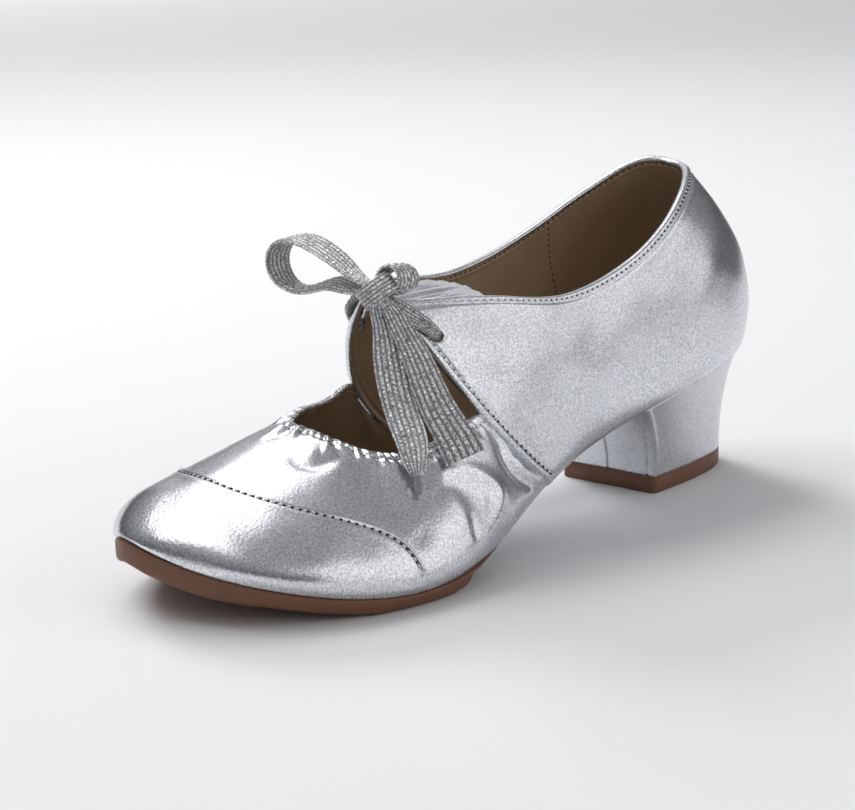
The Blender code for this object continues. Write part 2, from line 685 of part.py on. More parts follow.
def make_strap(finish, collection, parent):
    """The elastic strap between the wings, tucked under their edges."""
    rows = []
    for share in np.linspace(0, 1, STRAP_ROWS):
        foot = STRAP_FEET[0] + (STRAP_FEET[1] - STRAP_FEET[0]) * share
        sides = []
        for side in (1, -1):
            u = quarter_at(foot, side)
            sides.append([quarter(u, t) - quarter_normal(u, t) * (WALL + GAP) for t in STRAP_TUCK])
        start, end = sides[0][-1], sides[1][-1]
        span = []
        for t in np.linspace(0, 1, STRAP_SPAN)[1:-1]:
            swell = 4 * t * (1 - t)
            lift = np.array([STRAP_LEAD * (2 * share - 1) * swell, 0.0, STRAP_CROWN * swell])
            span.append(start + (end - start) * t + lift)
        rows.append(sides[0] + span + sides[1][::-1])
    bm = bmesh.new()
    add_grid(bm, rows)
    made = add_object("instep_strap", mesh_from(bm, "instep_strap"), finish, collection, parent)
    shell = made.modifiers.new("thickness", "SOLIDIFY")
    shell.thickness = STRAP_THICKNESS * MM
    shell.offset = -1.0
    return made


def make_ribbon(name, route, samples, finish, collection, parent):
    """A flat ribbon along a smooth curve through its route's points."""
    route = np.array(route)
    step = np.linalg.norm(np.diff(route[:, :3], axis=0), axis=1)
    knots = np.concatenate([[0], np.cumsum(step)])
    line = spline(knots, route, np.linspace(0, knots[-1], samples))
    rows = [[row[:3] - row[3:], row[:3], row[:3] + row[3:]] for row in line]
    bm = bmesh.new()
    add_grid(bm, rows)
    made = add_object(name, mesh_from(bm, name), finish, collection, parent)
    shell = made.modifiers.new("thickness", "SOLIDIFY")
    shell.thickness = LACE_THICKNESS * MM
    shell.offset = 0.0
    return made


def bar_route():
    """The lace's crossing: out of one eyelet, over the wings and the strap, to the other eyelet."""
    places = []
    outs = []
    for side, shares in ((1, BAR_SHARES), (-1, BAR_SHARES[::-1])):
        for share in shares:
            foot = EYELET_FOOT + (STRAP_FEET[1] - EYELET_FOOT) * share
            t = EYELET_SHARE + (STRAP_TUCK[-1] - EYELET_SHARE) * share
            u = quarter_at(foot, side)
            outs.append(quarter_normal(u, t))
            places.append(quarter(u, t) + outs[-1] * BAR_LIFT)
        if side > 0:
            outs.append(np.array([0.0, 0.0, 1.0]))
            places.append(np.array(BAR_MIDDLE))
    across = np.cross(outs, np.gradient(np.array(places), axis=0))
    across *= BAR_HALF_WIDTH / np.linalg.norm(across, axis=1, keepdims=True)
    return np.hstack([places, across])


def make_knot(finish, collection, parent):
    """The bow's knot, a short thick turn of the ribbon."""
    curve = bpy.data.curves.new("lace_knot", "CURVE")
    curve.dimensions = "3D"
    curve.bevel_depth = KNOT_RADIUS * MM
    curve.bevel_resolution = 3
    curve.use_fill_caps = True
    line = curve.splines.new("POLY")
    line.points.add(len(KNOT_ROUTE) - 1)
    for point, place in zip(line.points, KNOT_ROUTE):
        point.co = (*(np.array(place) * MM), 1.0)
    curve.materials.append(finish)
    made = bpy.data.objects.new("lace_knot", curve)
    collection.objects.link(made)
    made.parent = parent
    return made


def make_lace(finish, collection, parent):
    """The lace: its crossing, and the bow's knot, loops and ends."""
    make_ribbon("lace_bar", bar_route(), BAR_SAMPLES, finish, collection, parent)
    make_knot(finish, collection, parent)
    make_ribbon("lace_loop_inner", LOOP_INNER, LOOP_INNER_SAMPLES, finish, collection, parent)
    make_ribbon("lace_loop_outer", LOOP_OUTER, LOOP_OUTER_SAMPLES, finish, collection, parent)
    make_ribbon("lace_end_front", END_FRONT, END_SAMPLES, finish, collection, parent)
    make_ribbon("lace_end_back", END_BACK, END_SAMPLES, finish, collection, parent)


def centre_on_floor(parent, objects):
    """Move the parent so that the origin lies on the floor under the middle of the shoe."""
    bpy.context.view_layer.update()
    graph = bpy.context.evaluated_depsgraph_get()
    corners = []
    for made in objects:
        corners += [made.matrix_world @ Vector(corner) for corner in made.evaluated_get(graph).bound_box]
    corners = np.array(corners)
    middle = 0.5 * (corners.min(0) + corners.max(0))
    parent.location = (-middle[0], -middle[1], -corners[:, 2].min())


def main():
    for old in list(bpy.data.objects):
        bpy.data.objects.remove(old)
    shoe = bpy.data.collections.new("ballroom_dance_shoe")
    cutters = bpy.data.collections.new("cutters")
    bpy.context.scene.collection.children.link(shoe)
    bpy.context.scene.collection.children.link(cutters)
    root = bpy.data.objects.new("shoe_frame", None)
    shoe.objects.link(root)

    silver = material("silver_leather", (0.60, 0.61, 0.64), 0.32, 0.85)
    heel_cover = material("heel_cover", (0.66, 0.67, 0.70), 0.28, 0.80)
    rubber = material("brown_rubber", (0.27, 0.19, 0.15), 0.70, 0.0)
    lining = material("tan_lining", (0.30, 0.22, 0.16), 0.75, 0.0)
    elastic = material("silver_elastic", (0.62, 0.63, 0.65), 0.45, 0.60)
    ribbon = material("lace_ribbon", (0.50, 0.50, 0.52), 0.50, 0.55)

    body = [
        make_upper(silver, shoe, cutters, root),
        make_insole(lining, shoe, root),
        make_outsole(rubber, shoe, root),
        make_heel(heel_cover, shoe, root),
        make_lift(rubber, shoe, root),
        make_strap(elastic, shoe, root),
    ]
    make_lace(ribbon, shoe, root)
    centre_on_floor(root, body)


main()
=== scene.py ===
# %% [markdown]
# # A silver ballroom shoe
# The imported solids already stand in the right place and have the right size, so this lesson only dresses
# them. A shoemaker works on a last, and so does this script: one set of curves gives every leather panel,
# the sole and the heel, and each finished piece then takes the place of its plain solid.

import bpy
import numpy as np
from mathutils import Matrix


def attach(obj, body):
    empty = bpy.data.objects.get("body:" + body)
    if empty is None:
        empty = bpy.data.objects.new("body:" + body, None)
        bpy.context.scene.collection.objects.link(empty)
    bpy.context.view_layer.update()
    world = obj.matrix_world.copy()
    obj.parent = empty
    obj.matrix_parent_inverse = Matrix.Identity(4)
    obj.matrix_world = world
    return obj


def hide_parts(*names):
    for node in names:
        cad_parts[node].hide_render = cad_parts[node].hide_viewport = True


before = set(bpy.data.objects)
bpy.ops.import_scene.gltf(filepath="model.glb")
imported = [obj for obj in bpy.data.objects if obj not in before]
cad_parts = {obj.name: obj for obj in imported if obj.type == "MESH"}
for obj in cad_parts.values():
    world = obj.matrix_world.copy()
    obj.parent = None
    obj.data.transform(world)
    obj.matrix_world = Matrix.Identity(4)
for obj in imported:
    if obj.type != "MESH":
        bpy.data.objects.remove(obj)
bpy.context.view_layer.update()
print("solids:", ", ".join(sorted(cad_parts)))

# %% [markdown]
# ## The last
# A last is the foot-shaped block that leather is pulled over. Here it is a closed line, the feather edge,
# where the upper meets the sole, and a few profiles that climb from it to the shoe's openings. Lengths are
# in millimetres: x runs from the back of the heel to the toe, y to the outer side, z up from the floor.
# The tables are the part's own, so the dressed shoe fits its solids. Only the collar, the wings' edges, the
# round of the heel and the tip of the toe are led one to three millimetres closer to the picture.

# %% Sizes of the last
MM = 0.001
SHOE_ORIGIN = np.array([-0.12192, -0.00339, 0.0])
LENGTH = 245.0
BALL_WIDTH = 81.0
HEEL_RISE = 41.4
TOE_SPRING = 16.4
COLLAR_HEIGHT = 105.4
THROAT_HEIGHT = 46.0
SOLE_THICKNESS = 4.6
WALL = 1.6
QUARTER_STEP = 0.7
CAP_STEP = 0.6

FOOTPRINT = np.array((
    # along, outer, inner, rise, spring
    (0.0000, 0.000, 0.000, 1.000, 0.000),
    (0.0065, 0.117, -0.111, 0.988, 0.000),
    (0.0245, 0.220, -0.210, 0.966, 0.000),
    (0.0570, 0.293, -0.279, 0.925, 0.000),
    (0.1140, 0.341, -0.323, 0.855, 0.000),
    (0.2040, 0.358, -0.333, 0.749, 0.000),
    (0.3265, 0.348, -0.296, 0.589, 0.000),
    (0.4490, 0.374, -0.265, 0.386, 0.000),
    (0.5714, 0.472, -0.315, 0.150, 0.000),
    (0.6940, 0.570, -0.426, 0.005, 0.000),
    (0.7960, 0.546, -0.481, 0.000, 0.000),
    (0.8860, 0.430, -0.463, 0.000, 0.225),
    (0.9510, 0.259, -0.367, 0.000, 0.524),
    (0.9857, 0.068, -0.247, 0.000, 0.793),
    (1.0000, -0.123, -0.123, 0.000, 1.000),
))
QUARTER_PROFILES = (
    # side, foot, edge_along, edge_across, edge_up, out_low, up_low, out_high, up_high, ahead
    (1, 0.4776, 0.6430, 0.080, 0.746, 13.0, -2.0, 10.0, -1.0, 12.0),
    (-1, 0.4776, 0.6390, 0.080, 0.746, 13.0, -2.0, 11.5, -4.0, 14.0),
    (1, 0.3920, 0.5346, 0.270, 0.742, 8.0, 0.0, 7.0, 1.0, 2.0),
    (-1, 0.3920, 0.5291, 0.278, 0.741, 8.0, 0.0, 7.0, 1.0, 2.0),
    (1, 0.2857, 0.4082, 0.312, 0.712, 6.0, 0.0, 5.5, 0.0, 0.0),
    (-1, 0.2857, 0.4060, 0.326, 0.719, 6.0, 0.0, 5.5, 0.0, 0.0),
    (0, 0.1837, 0.2687, 0.313, 0.802, 5.5, 0.0, 5.5, 0.0, 0.0),
    (0, 0.0816, 0.1585, 0.226, 0.934, 11.0, 0.0, 9.2, 0.0, 0.0),
    (1, 0.0245, 0.1080, 0.124, 0.981, 13.2, 0.0, 13.0, 0.0, 0.0),
    (-1, 0.0245, 0.1080, 0.124, 1.003, 13.2, 0.0, 13.0, 0.0, 0.0),
    (0, 0.0000, 0.0830, 0.000, 1.002, 12.2, 0.0, 12.8, 0.0, 0.0),
)
NOTCH = 0.47
VAMP_PROFILES = (
    # foot, outer along, across, up, inner along, across, up, out_low, up_low, out_high, up_high
    (0.592, 0.653, 0.352, 0.902, 0.612, -0.272, 1.043, 8.0, 1.0, 3.0, 4.0),
    (0.702, 0.706, 0.290, 0.843, 0.653, -0.228, 1.007, 9.0, 2.5, 1.5, 5.0),
    (0.804, 0.739, 0.173, 0.891, 0.694, -0.185, 1.000, 11.0, 3.0, 2.0, 5.5),
    (0.906, 0.755, 0.080, 0.948, 0.727, -0.142, 1.004, 14.0, 3.0, 3.0, 4.5),
    (0.976, 0.763, 0.006, 0.983, 0.751, -0.099, 1.004, 17.0, 2.0, 5.0, 2.0),
    (1.000, 0.765, -0.049, 0.998, 0.765, -0.049, 0.998, 17.5, 1.5, 5.3, 0.5),
)
CAP_SEAM = np.array((
    # across, along
    (-45.0, 186.0),
    (-36.0, 196.0),
    (-28.0, 208.0),
    (-16.0, 217.5),
    (-5.0, 219.8),
    (10.0, 216.0),
    (30.0, 200.5),
    (41.0, 186.5),
    (48.0, 183.0),
))
print("last:", LENGTH, "mm long,", BALL_WIDTH, "mm over the ball")

# %% Curves of the last
LOOP_POWER = 0.75
LOOP_SAMPLES = 2001
AROUND_STEP = 0.05
UP_STEP = 0.01
SLOPE_STEP = 1.0
TOE_TWIST = 2.2
TWIST_AHEAD = (215.0, 237.0)
TWIST_INWARD = (2.0, 20.0)


def unit(vectors):
    """Vectors at length one."""
    return vectors / np.linalg.norm(vectors, axis=-1, keepdims=True)


def smooth(value, low, high):
    """Runs softly from 0 at low to 1 at high."""
    share = np.clip((value - low) / (high - low), 0, 1)
    return share * share * (3 - 2 * share)


def bell(value, width):
    """A soft bump that is 1 at zero and fades within about two widths."""
    return np.exp(-(value / width) ** 2)


def run_of(line):
    """Distance along a polyline at each of its points."""
    return np.concatenate([[0.0], np.cumsum(np.linalg.norm(np.diff(line, axis=0), axis=1))])


def spline(knots, values, at, closed=False):
    """Cubic spline through values at knots, natural at its ends or closed on itself."""
    knots = np.asarray(knots, float)
    values = np.asarray(values, float).reshape(len(knots), -1)
    at = np.asarray(at, float)
    count = len(knots)
    step = np.diff(knots)
    slope = np.diff(values, axis=0) / step[:, None]
    matrix = np.eye(count)
    right = np.zeros_like(values)
    for i in range(1, count - 1):
        matrix[i, i - 1:i + 2] = step[i - 1], 2 * (step[i - 1] + step[i]), step[i]
        right[i] = 6 * (slope[i] - slope[i - 1])
    if closed:
        matrix[0, [0, 1, -2]] = 2 * (step[0] + step[-1]), step[0], step[-1]
        right[0] = 6 * (slope[0] - slope[-1])
        matrix[-1, 0] = -1
        at = knots[0] + np.mod(at - knots[0], knots[-1] - knots[0])
    second = np.linalg.solve(matrix, right)
    i = np.clip(np.searchsorted(knots, at, side="right") - 1, 0, count - 2)
    h = step[i][..., None]
    b = (at - knots[i])[..., None] / h
    a = 1 - b
    bend = (a ** 3 - a) * second[i] + (b ** 3 - b) * second[i + 1]
    return a * values[i] + b * values[i + 1] + bend * h ** 2 / 6


def bezier(controls, t):
    """Point on a cubic Bezier curve."""
    t = np.asarray(t, float)[..., None]
    s = 1 - t
    low = s ** 3 * controls[..., 0, :] + 3 * s * s * t * controls[..., 1, :]
    return low + 3 * s * t * t * controls[..., 2, :] + t ** 3 * controls[..., 3, :]


def first_part(controls, t):
    """Control points of the part of a cubic Bezier curve from 0 to t."""
    a = controls[:-1] + (controls[1:] - controls[:-1]) * t
    b = a[:-1] + (a[1:] - a[:-1]) * t
    c = b[0] + (b[1] - b[0]) * t
    return np.stack([controls[0], a[0], b[0], c])


FEATHER_Z = SOLE_THICKNESS + FOOTPRINT[:, 3] * HEEL_RISE + FOOTPRINT[:, 4] * TOE_SPRING
OUTER_EDGE = np.stack([FOOTPRINT[:, 0] * LENGTH, FOOTPRINT[:, 1] * BALL_WIDTH, FEATHER_Z], 1)
INNER_EDGE = np.stack([FOOTPRINT[:, 0] * LENGTH, FOOTPRINT[:, 2] * BALL_WIDTH, FEATHER_Z], 1)
LOOP = np.vstack([OUTER_EDGE, INNER_EDGE[-2::-1]])
LOOP_STEPS = np.linalg.norm(np.diff(LOOP[:, :2], axis=0), axis=1) ** LOOP_POWER
LOOP_KNOTS = np.concatenate([[0], np.cumsum(LOOP_STEPS)])
LOOP_TIP = LOOP_KNOTS[len(OUTER_EDGE) - 1]
LOOP_END = LOOP_KNOTS[-1]


def feather(u):
    """Point of the feather edge at loop parameter u."""
    return spline(LOOP_KNOTS, LOOP, u, closed=True)


def outward(u):
    """Horizontal direction away from the foot at the feather edge."""
    along = feather(np.asarray(u) + AROUND_STEP) - feather(np.asarray(u) - AROUND_STEP)
    return unit(np.stack([-along[..., 1], along[..., 0], 0 * along[..., 0]], -1))


OUTER_SAMPLES = np.linspace(0, LOOP_TIP, LOOP_SAMPLES)
INNER_SAMPLES = np.linspace(LOOP_END, LOOP_TIP, LOOP_SAMPLES)
OUTER_LINE = feather(OUTER_SAMPLES)
INNER_LINE = feather(INNER_SAMPLES)


def loop_at(x, side):
    """Loop parameter where the feather edge passes x on the outer (1) or inner (-1) side."""
    line, samples = (OUTER_LINE, OUTER_SAMPLES) if side > 0 else (INNER_LINE, INNER_SAMPLES)
    return np.interp(x, line[:, 0], samples)


def floor_line(x):
    """Height of the underside of the foot at x."""
    return np.interp(x, OUTER_LINE[:, 0], OUTER_LINE[:, 2])


def above_floor_line(x, distance):
    """Height of a surface that lies the given distance off the underside, measured square to it."""
    slope = (floor_line(x + SLOPE_STEP) - floor_line(x - SLOPE_STEP)) / (2 * SLOPE_STEP)
    return floor_line(x) + distance * np.hypot(1, slope)


def to_row(points):
    """Last millimetres to the row's metres, with a little more spring on the toe's inner side."""
    points = np.array(points, float)
    ahead = smooth(points[..., 0], *TWIST_AHEAD)
    points[..., 2] += TOE_TWIST * ahead * smooth(-points[..., 1], *TWIST_INWARD)
    return points * MM + SHOE_ORIGIN


print("feather edge:", round(run_of(OUTER_LINE)[-1] + run_of(INNER_LINE)[-1]), "mm round")

# %% The two panels as surfaces


def profile(u, edge, out_low, up_low, out_high, up_high, ahead=0.0):
    """Control points of one profile from the feather edge to an opening's edge."""
    foot = feather(u)
    out = outward(u)
    lean = np.array([ahead, 0.0, 0.0])
    low = foot + (edge - foot) / 3 + out * out_low + (0.0, 0.0, up_low) + lean
    high = foot + (edge - foot) * 2 / 3 + out * out_high + (0.0, 0.0, up_high) + lean
    return np.stack([foot, low, high, edge])


def quarter_profiles():
    """Loop parameters and profiles from the inner front edge, round the heel, to the outer front edge."""
    inner = [row for row in QUARTER_PROFILES if row[0] <= 0]
    outer = [row for row in QUARTER_PROFILES if row[0] >= 0]
    knots = []
    profiles = []
    for side, rows in ((-1, inner), (1, outer[-2::-1])):
        for _, foot, along, across, up, *handles in rows:
            u = loop_at(foot * LENGTH, side) if foot > 0 else LOOP_END
            edge = np.array([along * LENGTH, side * across * BALL_WIDTH, up * COLLAR_HEIGHT])
            knots.append(u - LOOP_END if side < 0 else u)
            profiles.append(profile(u, edge, *handles))
    return np.array(knots), np.array(profiles)


QUARTER_KNOTS, QUARTER_CONTROLS = quarter_profiles()


def vamp_profiles():
    """Loop parameters and profiles from the outer notch, round the toe, to the inner notch."""
    knots = [QUARTER_KNOTS[-1]]
    profiles = [first_part(QUARTER_CONTROLS[-1], NOTCH)]
    scale = np.array([LENGTH, BALL_WIDTH, THROAT_HEIGHT])
    for side, rows in ((1, VAMP_PROFILES), (-1, VAMP_PROFILES[-2::-1])):
        for row in rows:
            edge = np.array(row[1:4] if side > 0 else row[4:7]) * scale
            knots.append(loop_at(row[0] * LENGTH, side))
            profiles.append(profile(knots[-1], edge, *row[7:]))
    knots.append(QUARTER_KNOTS[0] + LOOP_END)
    profiles.append(first_part(QUARTER_CONTROLS[0], NOTCH))
    return np.array(knots), np.array(profiles)


VAMP_KNOTS, VAMP_CONTROLS = vamp_profiles()


def splined_controls(u, knots, controls):
    """Profile at any loop parameter: its foot is on the feather edge, its other points are splined."""
    u = np.asarray(u, float)
    rest = spline(knots, controls[:, 1:].reshape(len(knots), 9), u).reshape(u.shape + (3, 3))
    return np.concatenate([feather(u)[..., None, :], rest], -2)


def quarter_controls(u):
    """Profile of the quarters."""
    return splined_controls(u, QUARTER_KNOTS, QUARTER_CONTROLS)


def vamp_controls(u):
    """Profile of the vamp."""
    return splined_controls(u, VAMP_KNOTS, VAMP_CONTROLS)


def quarter(u, t):
    """Outer surface of the quarters, t from the feather edge (0) to the collar (1)."""
    return bezier(quarter_controls(u), t)


def quarter_at(foot, side):
    """The quarters' loop parameter at a share of LENGTH on the outer (1) or inner (-1) side."""
    return loop_at(foot * LENGTH, side) - (LOOP_END if side < 0 else 0.0)


def quarter_normal(u, t):
    """Direction out of the quarters' surface."""
    around = quarter(u + AROUND_STEP, t) - quarter(u - AROUND_STEP, t)
    up = quarter(u, np.asarray(t)) - quarter(u, np.asarray(t) - UP_STEP)
    return unit(np.cross(up, around))


def cap_line(across):
    """How far forward the toe cap's seam lies, seen from above."""
    across = np.clip(np.asarray(across, float), CAP_SEAM[0, 0], CAP_SEAM[-1, 0])
    return spline(CAP_SEAM[:, 0], CAP_SEAM[:, 1], across)[..., 0]


print("profiles:", len(QUARTER_KNOTS), "round the quarters,", len(VAMP_KNOTS), "round the vamp")

# %% [markdown]
# ## Camera, light and floor
# A camera that was fitted to the picture comes first, because everything else is judged through it. Metallic
# leather shows its surroundings more than its own colour, so there are large soft boxes over a pale floor,
# with a dim room between them: the boxes give the white patches, the floor gives the bright rim along the
# sole, and the room gives the grey in between. Two more lamps that metal doesn't mirror light the floor:
# one overhead and behind, and one far behind, so the shadow falls forward.

# %% Camera
VIEW_AZIMUTH = 135.8
VIEW_ELEVATION = 13.8
VIEW_ROLL = 1.0
VIEW_DISTANCE = 665.0
VIEW_AIM = np.array([129.3, -7.7, 39.5])
FOCAL_PIXELS = 2137.0
IMAGE_WIDTH = 855.0
SENSOR = 36.0


def put(name, data):
    """An object in the scene for some data."""
    made = bpy.data.objects.new(name, data)
    bpy.context.scene.collection.objects.link(made)
    return made


def placed(right, up, back, place):
    """World matrix of something that looks along minus back."""
    turn = np.eye(4)
    turn[:3, :3] = np.column_stack([right, up, back])
    turn[:3, 3] = place
    return Matrix(turn.tolist())


azimuth, elevation, roll = np.radians((VIEW_AZIMUTH, VIEW_ELEVATION, VIEW_ROLL))
view_back = np.array([np.sin(azimuth) * np.cos(elevation), -np.cos(azimuth) * np.cos(elevation),
                      np.sin(elevation)])
level_right = unit(np.cross((0.0, 0.0, 1.0), view_back))
level_up = np.cross(view_back, level_right)
view_right = np.cos(roll) * level_right - np.sin(roll) * level_up
view_up = np.sin(roll) * level_right + np.cos(roll) * level_up
lens = bpy.data.cameras.new("photo_camera")
lens.sensor_width = SENSOR
lens.lens = SENSOR * FOCAL_PIXELS / IMAGE_WIDTH
lens.clip_start = 0.01
lens.clip_end = 50.0
camera = put("photo_camera", lens)
camera.matrix_world = placed(view_right, view_up, view_back, to_row(VIEW_AIM + view_back * VIEW_DISTANCE))
bpy.context.scene.camera = camera
print("camera:", round(lens.lens, 1), "mm lens,", VIEW_DISTANCE, "mm from the shoe")

# %% Node helpers
NOISE_MIDDLE = (0.3, 0.7)


def add_node(tree, kind, inputs=None, **settings):
    """A shader or geometry node with its settings, its inputs either values or other nodes' sockets."""
    made = tree.nodes.new(kind)
    for name, value in settings.items():
        setattr(made, name, value)
    for name, value in (inputs or {}).items():
        if isinstance(value, bpy.types.NodeSocket):
            tree.links.new(value, made.inputs[name])
        else:
            made.inputs[name].default_value = value
    return made


def new_finish(name):
    """An empty Principled material: its tree, its shader and its Object coordinates."""
    made = bpy.data.materials.new(name)
    made.use_nodes = True
    tree = made.node_tree
    where = add_node(tree, "ShaderNodeTexCoord").outputs["Object"]
    return made, tree, tree.nodes["Principled BSDF"], where


def noise_at(tree, where, millimetres, detail=2.0):
    """Noise whose patches are about this many millimetres across."""
    ends = {"Vector": where, "Scale": 1 / (millimetres * MM), "Detail": detail}
    return add_node(tree, "ShaderNodeTexNoise", ends).outputs["Fac"]


def between(tree, factor, low, high):
    """A value that runs from low to high as the factor runs over the middle of its range."""
    first, last = NOISE_MIDDLE
    ends = {"Value": factor, "From Min": first, "From Max": last, "To Min": low, "To Max": high}
    return add_node(tree, "ShaderNodeMapRange", ends).outputs[0]


def dimmed(colour, share):
    """A colour at a share of its brightness."""
    return tuple(share * part for part in colour)


def two_tone(tree, factor, first, second):
    """Colour that wanders between two tones."""
    tones = {0: factor, 6: (*first, 1.0), 7: (*second, 1.0)}
    return add_node(tree, "ShaderNodeMix", tones, data_type="RGBA").outputs[2]


# %% Lights and floor
SOFT_BOXES = (
    # name, place and aim in metres, width, height, brightness, is mirrored by metal, lights floor and cloth
    ("box_overhead", (0.22, -0.30, 1.04), (0.0, 0.0, 0.0), 1.65, 0.60, 2.5, True, False),
    ("lamp_overhead", (0.05, -0.75, 1.20), (0.0, -0.50, 0.0), 1.65, 0.60, 3.8, False, True),
    ("wall_outer", (-0.42, 1.15, 0.55), (0.0, 0.0, 0.0), 2.00, 1.05, 0.80, True, True),
    ("box_behind", (-1.15, -1.20, 0.75), (0.0, 0.0, 0.0), 1.30, 1.10, 0.48, True, False),
    ("lamp_behind", (-1.20, -5.80, 3.30), (-0.40, -0.60, 0.0), 2.40, 1.80, 17.0, False, True),
)
ROOM_GREYS = ((0.0, 0.04), (0.50, 0.06), (0.60, 0.12), (0.70, 0.24), (0.85, 0.32), (1.0, 0.32))
ROOM_BLUE = 1.03
LAMP_UP = (0.0, 0.1, 1.0)
FLOOR_SIZE = 12.0
FLOOR_WHITE = (0.87, 0.875, 0.885)
FLOOR_DIM = 0.985
FLOOR_PATCH = 40.0
FLOOR_ROUGHNESS = 0.8


def soft_box(name, place, aim, width, height, brightness, mirrored, lighting):
    """A rectangular area light that faces its aim: metal may mirror it, and floor and cloth be lit by it."""
    lamp = bpy.data.lights.new(name, "AREA")
    lamp.shape = "RECTANGLE"
    lamp.size = width
    lamp.size_y = height
    lamp.energy = brightness * np.pi * width * height
    made = put(name, lamp)
    made.visible_glossy = mirrored
    made.visible_diffuse = lighting
    back = unit(np.array(place) - aim)
    side = unit(np.cross(LAMP_UP, back))
    made.matrix_world = placed(side, np.cross(back, side), back, place)


def make_room():
    """A dim grey room, dark up to the horizon and lighter overhead."""
    world = bpy.data.worlds.new("studio")
    world.use_nodes = True
    tree = world.node_tree
    height = add_node(tree, "ShaderNodeSeparateXYZ",
                      {0: add_node(tree, "ShaderNodeTexCoord").outputs["Generated"]})
    share = add_node(tree, "ShaderNodeMapRange", {"Value": height.outputs["Z"], "From Min": -1.0})
    ramp = add_node(tree, "ShaderNodeValToRGB", {"Fac": share.outputs[0]})
    while len(ramp.color_ramp.elements) < len(ROOM_GREYS):
        ramp.color_ramp.elements.new(1.0)
    for stop, (at, grey) in zip(ramp.color_ramp.elements, ROOM_GREYS):
        stop.position = at
        stop.color = (grey, grey, grey * ROOM_BLUE, 1.0)
    tree.links.new(ramp.outputs["Color"], tree.nodes["Background"].inputs["Color"])
    bpy.context.scene.world = world


def make_floor():
    """A pale floor that runs well past the picture."""
    half = FLOOR_SIZE / 2
    mesh = bpy.data.meshes.new("floor")
    corners = [(-half, -half, 0), (half, -half, 0), (half, half, 0), (-half, half, 0)]
    mesh.from_pydata(corners, [], [(0, 1, 2, 3)])
    paint, tree, shader, where = new_finish("floor_paper")
    tones = (dimmed(FLOOR_WHITE, FLOOR_DIM), FLOOR_WHITE)
    tree.links.new(two_tone(tree, noise_at(tree, where, FLOOR_PATCH), *tones), shader.inputs["Base Color"])
    shader.inputs["Roughness"].default_value = FLOOR_ROUGHNESS
    mesh.materials.append(paint)
    put("floor", mesh)


for box in SOFT_BOXES:
    soft_box(*box)
make_room()
make_floor()
bpy.context.scene.view_settings.view_transform = "Standard"
print("lights:", len(SOFT_BOXES), "soft boxes")

# %% [markdown]
# ## Finishes
# The leather is coated with a thin metal film, so it is a metal to the shader: its grain tilts what it
# mirrors. Pebbles in the bump, specks in the film's colour and a slow change in roughness keep it from
# looking like chrome. Lining, rubber, elastic, ribbon and thread each get their own grain.

# %% Leather, lining and rubber
SILVER = (0.88, 0.895, 0.935)
# The heel's silver film is darker than the rest: painted shade, standing in for the shadowed floor that the
# heel mirrors.
HEEL_SILVER_SHADED = (0.70, 0.715, 0.750)
PEBBLE = 0.80
PEBBLE_DEPTH = 0.10
SPECK = 0.62
POLISH_PATCH = 22.0
POLISH_SWING = (-0.03, 0.05)
MOTTLE_PATCH = 9.0
MATT_PATCH = 3.0
MATT_SWING = 0.08
LINING_TAN = ((0.340, 0.240, 0.160), (0.420, 0.315, 0.225))
RUBBER_BROWN = ((0.150, 0.062, 0.032), (0.190, 0.082, 0.044))


def add_bump(tree, shader, height, strength, depth):
    """Tilt the shading by a height, depth in millimetres."""
    bump = add_node(tree, "ShaderNodeBump", {"Height": height, "Strength": strength, "Distance": depth * MM})
    tree.links.new(bump.outputs["Normal"], shader.inputs["Normal"])


def silver_leather(name, film, roughness, strength, darkest):
    """Metal film over a pebbled leather grain, its specks down to a share of the film's brightness."""
    made, tree, shader, where = new_finish(name)
    pebble = add_node(tree, "ShaderNodeTexVoronoi", {"Vector": where, "Scale": 1 / (PEBBLE * MM)},
                      feature="SMOOTH_F1")
    add_bump(tree, shader, pebble.outputs["Distance"], strength, PEBBLE_DEPTH)
    patches = noise_at(tree, where, POLISH_PATCH, 3.0)
    polish = between(tree, patches, *(roughness + swing for swing in POLISH_SWING))
    tree.links.new(polish, shader.inputs["Roughness"])
    specks = between(tree, noise_at(tree, where, SPECK, 1.0), 0.0, 1.0)
    tree.links.new(two_tone(tree, specks, dimmed(film, darkest), film), shader.inputs["Base Color"])
    shader.inputs["Metallic"].default_value = 1.0
    return made


def matt_finish(name, tones, roughness, grain, strength, depth):
    """A dull material with a mottled colour and a fine grain, grain and depth in millimetres."""
    made, tree, shader, where = new_finish(name)
    mottle = noise_at(tree, where, MOTTLE_PATCH, 4.0)
    tree.links.new(two_tone(tree, mottle, *tones), shader.inputs["Base Color"])
    add_bump(tree, shader, noise_at(tree, where, grain, 3.0), strength, depth)
    dull = between(tree, noise_at(tree, where, MATT_PATCH), roughness - MATT_SWING, roughness + MATT_SWING)
    tree.links.new(dull, shader.inputs["Roughness"])
    return made


leather = silver_leather("silver_leather", SILVER, roughness=0.27, strength=0.40, darkest=0.58)
# The heel's leather takes the darkened film, so its shade is painted into its colour.
shaded_heel_leather = silver_leather("shaded_heel_leather", HEEL_SILVER_SHADED, roughness=0.27, strength=0.20, darkest=0.72)
lining = matt_finish("tan_lining", LINING_TAN, roughness=0.62, grain=0.7, strength=0.35, depth=0.15)
rubber = matt_finish("brown_rubber", RUBBER_BROWN, roughness=0.52, grain=0.5, strength=0.25, depth=0.12)
print("finishes: leather, heel leather, lining, rubber")

# %% Ribbon, elastic and thread
RIBS = 6
# RIB_SHADE is the yarn's darkest speck tone, and also the shade painted into the hollows between the ribs.
RIB_SHADE = (0.20, 0.20, 0.215)
RIB_SHARPNESS = 4.0
RIBBON_GREY = (RIB_SHADE, (1.0, 1.0, 1.0))
YARN_BUMP = 0.6
YARN_DEPTH = 0.20
YARN_METAL = 0.45
THREAD_PATCH = 0.5
THREAD_DIM = 0.8


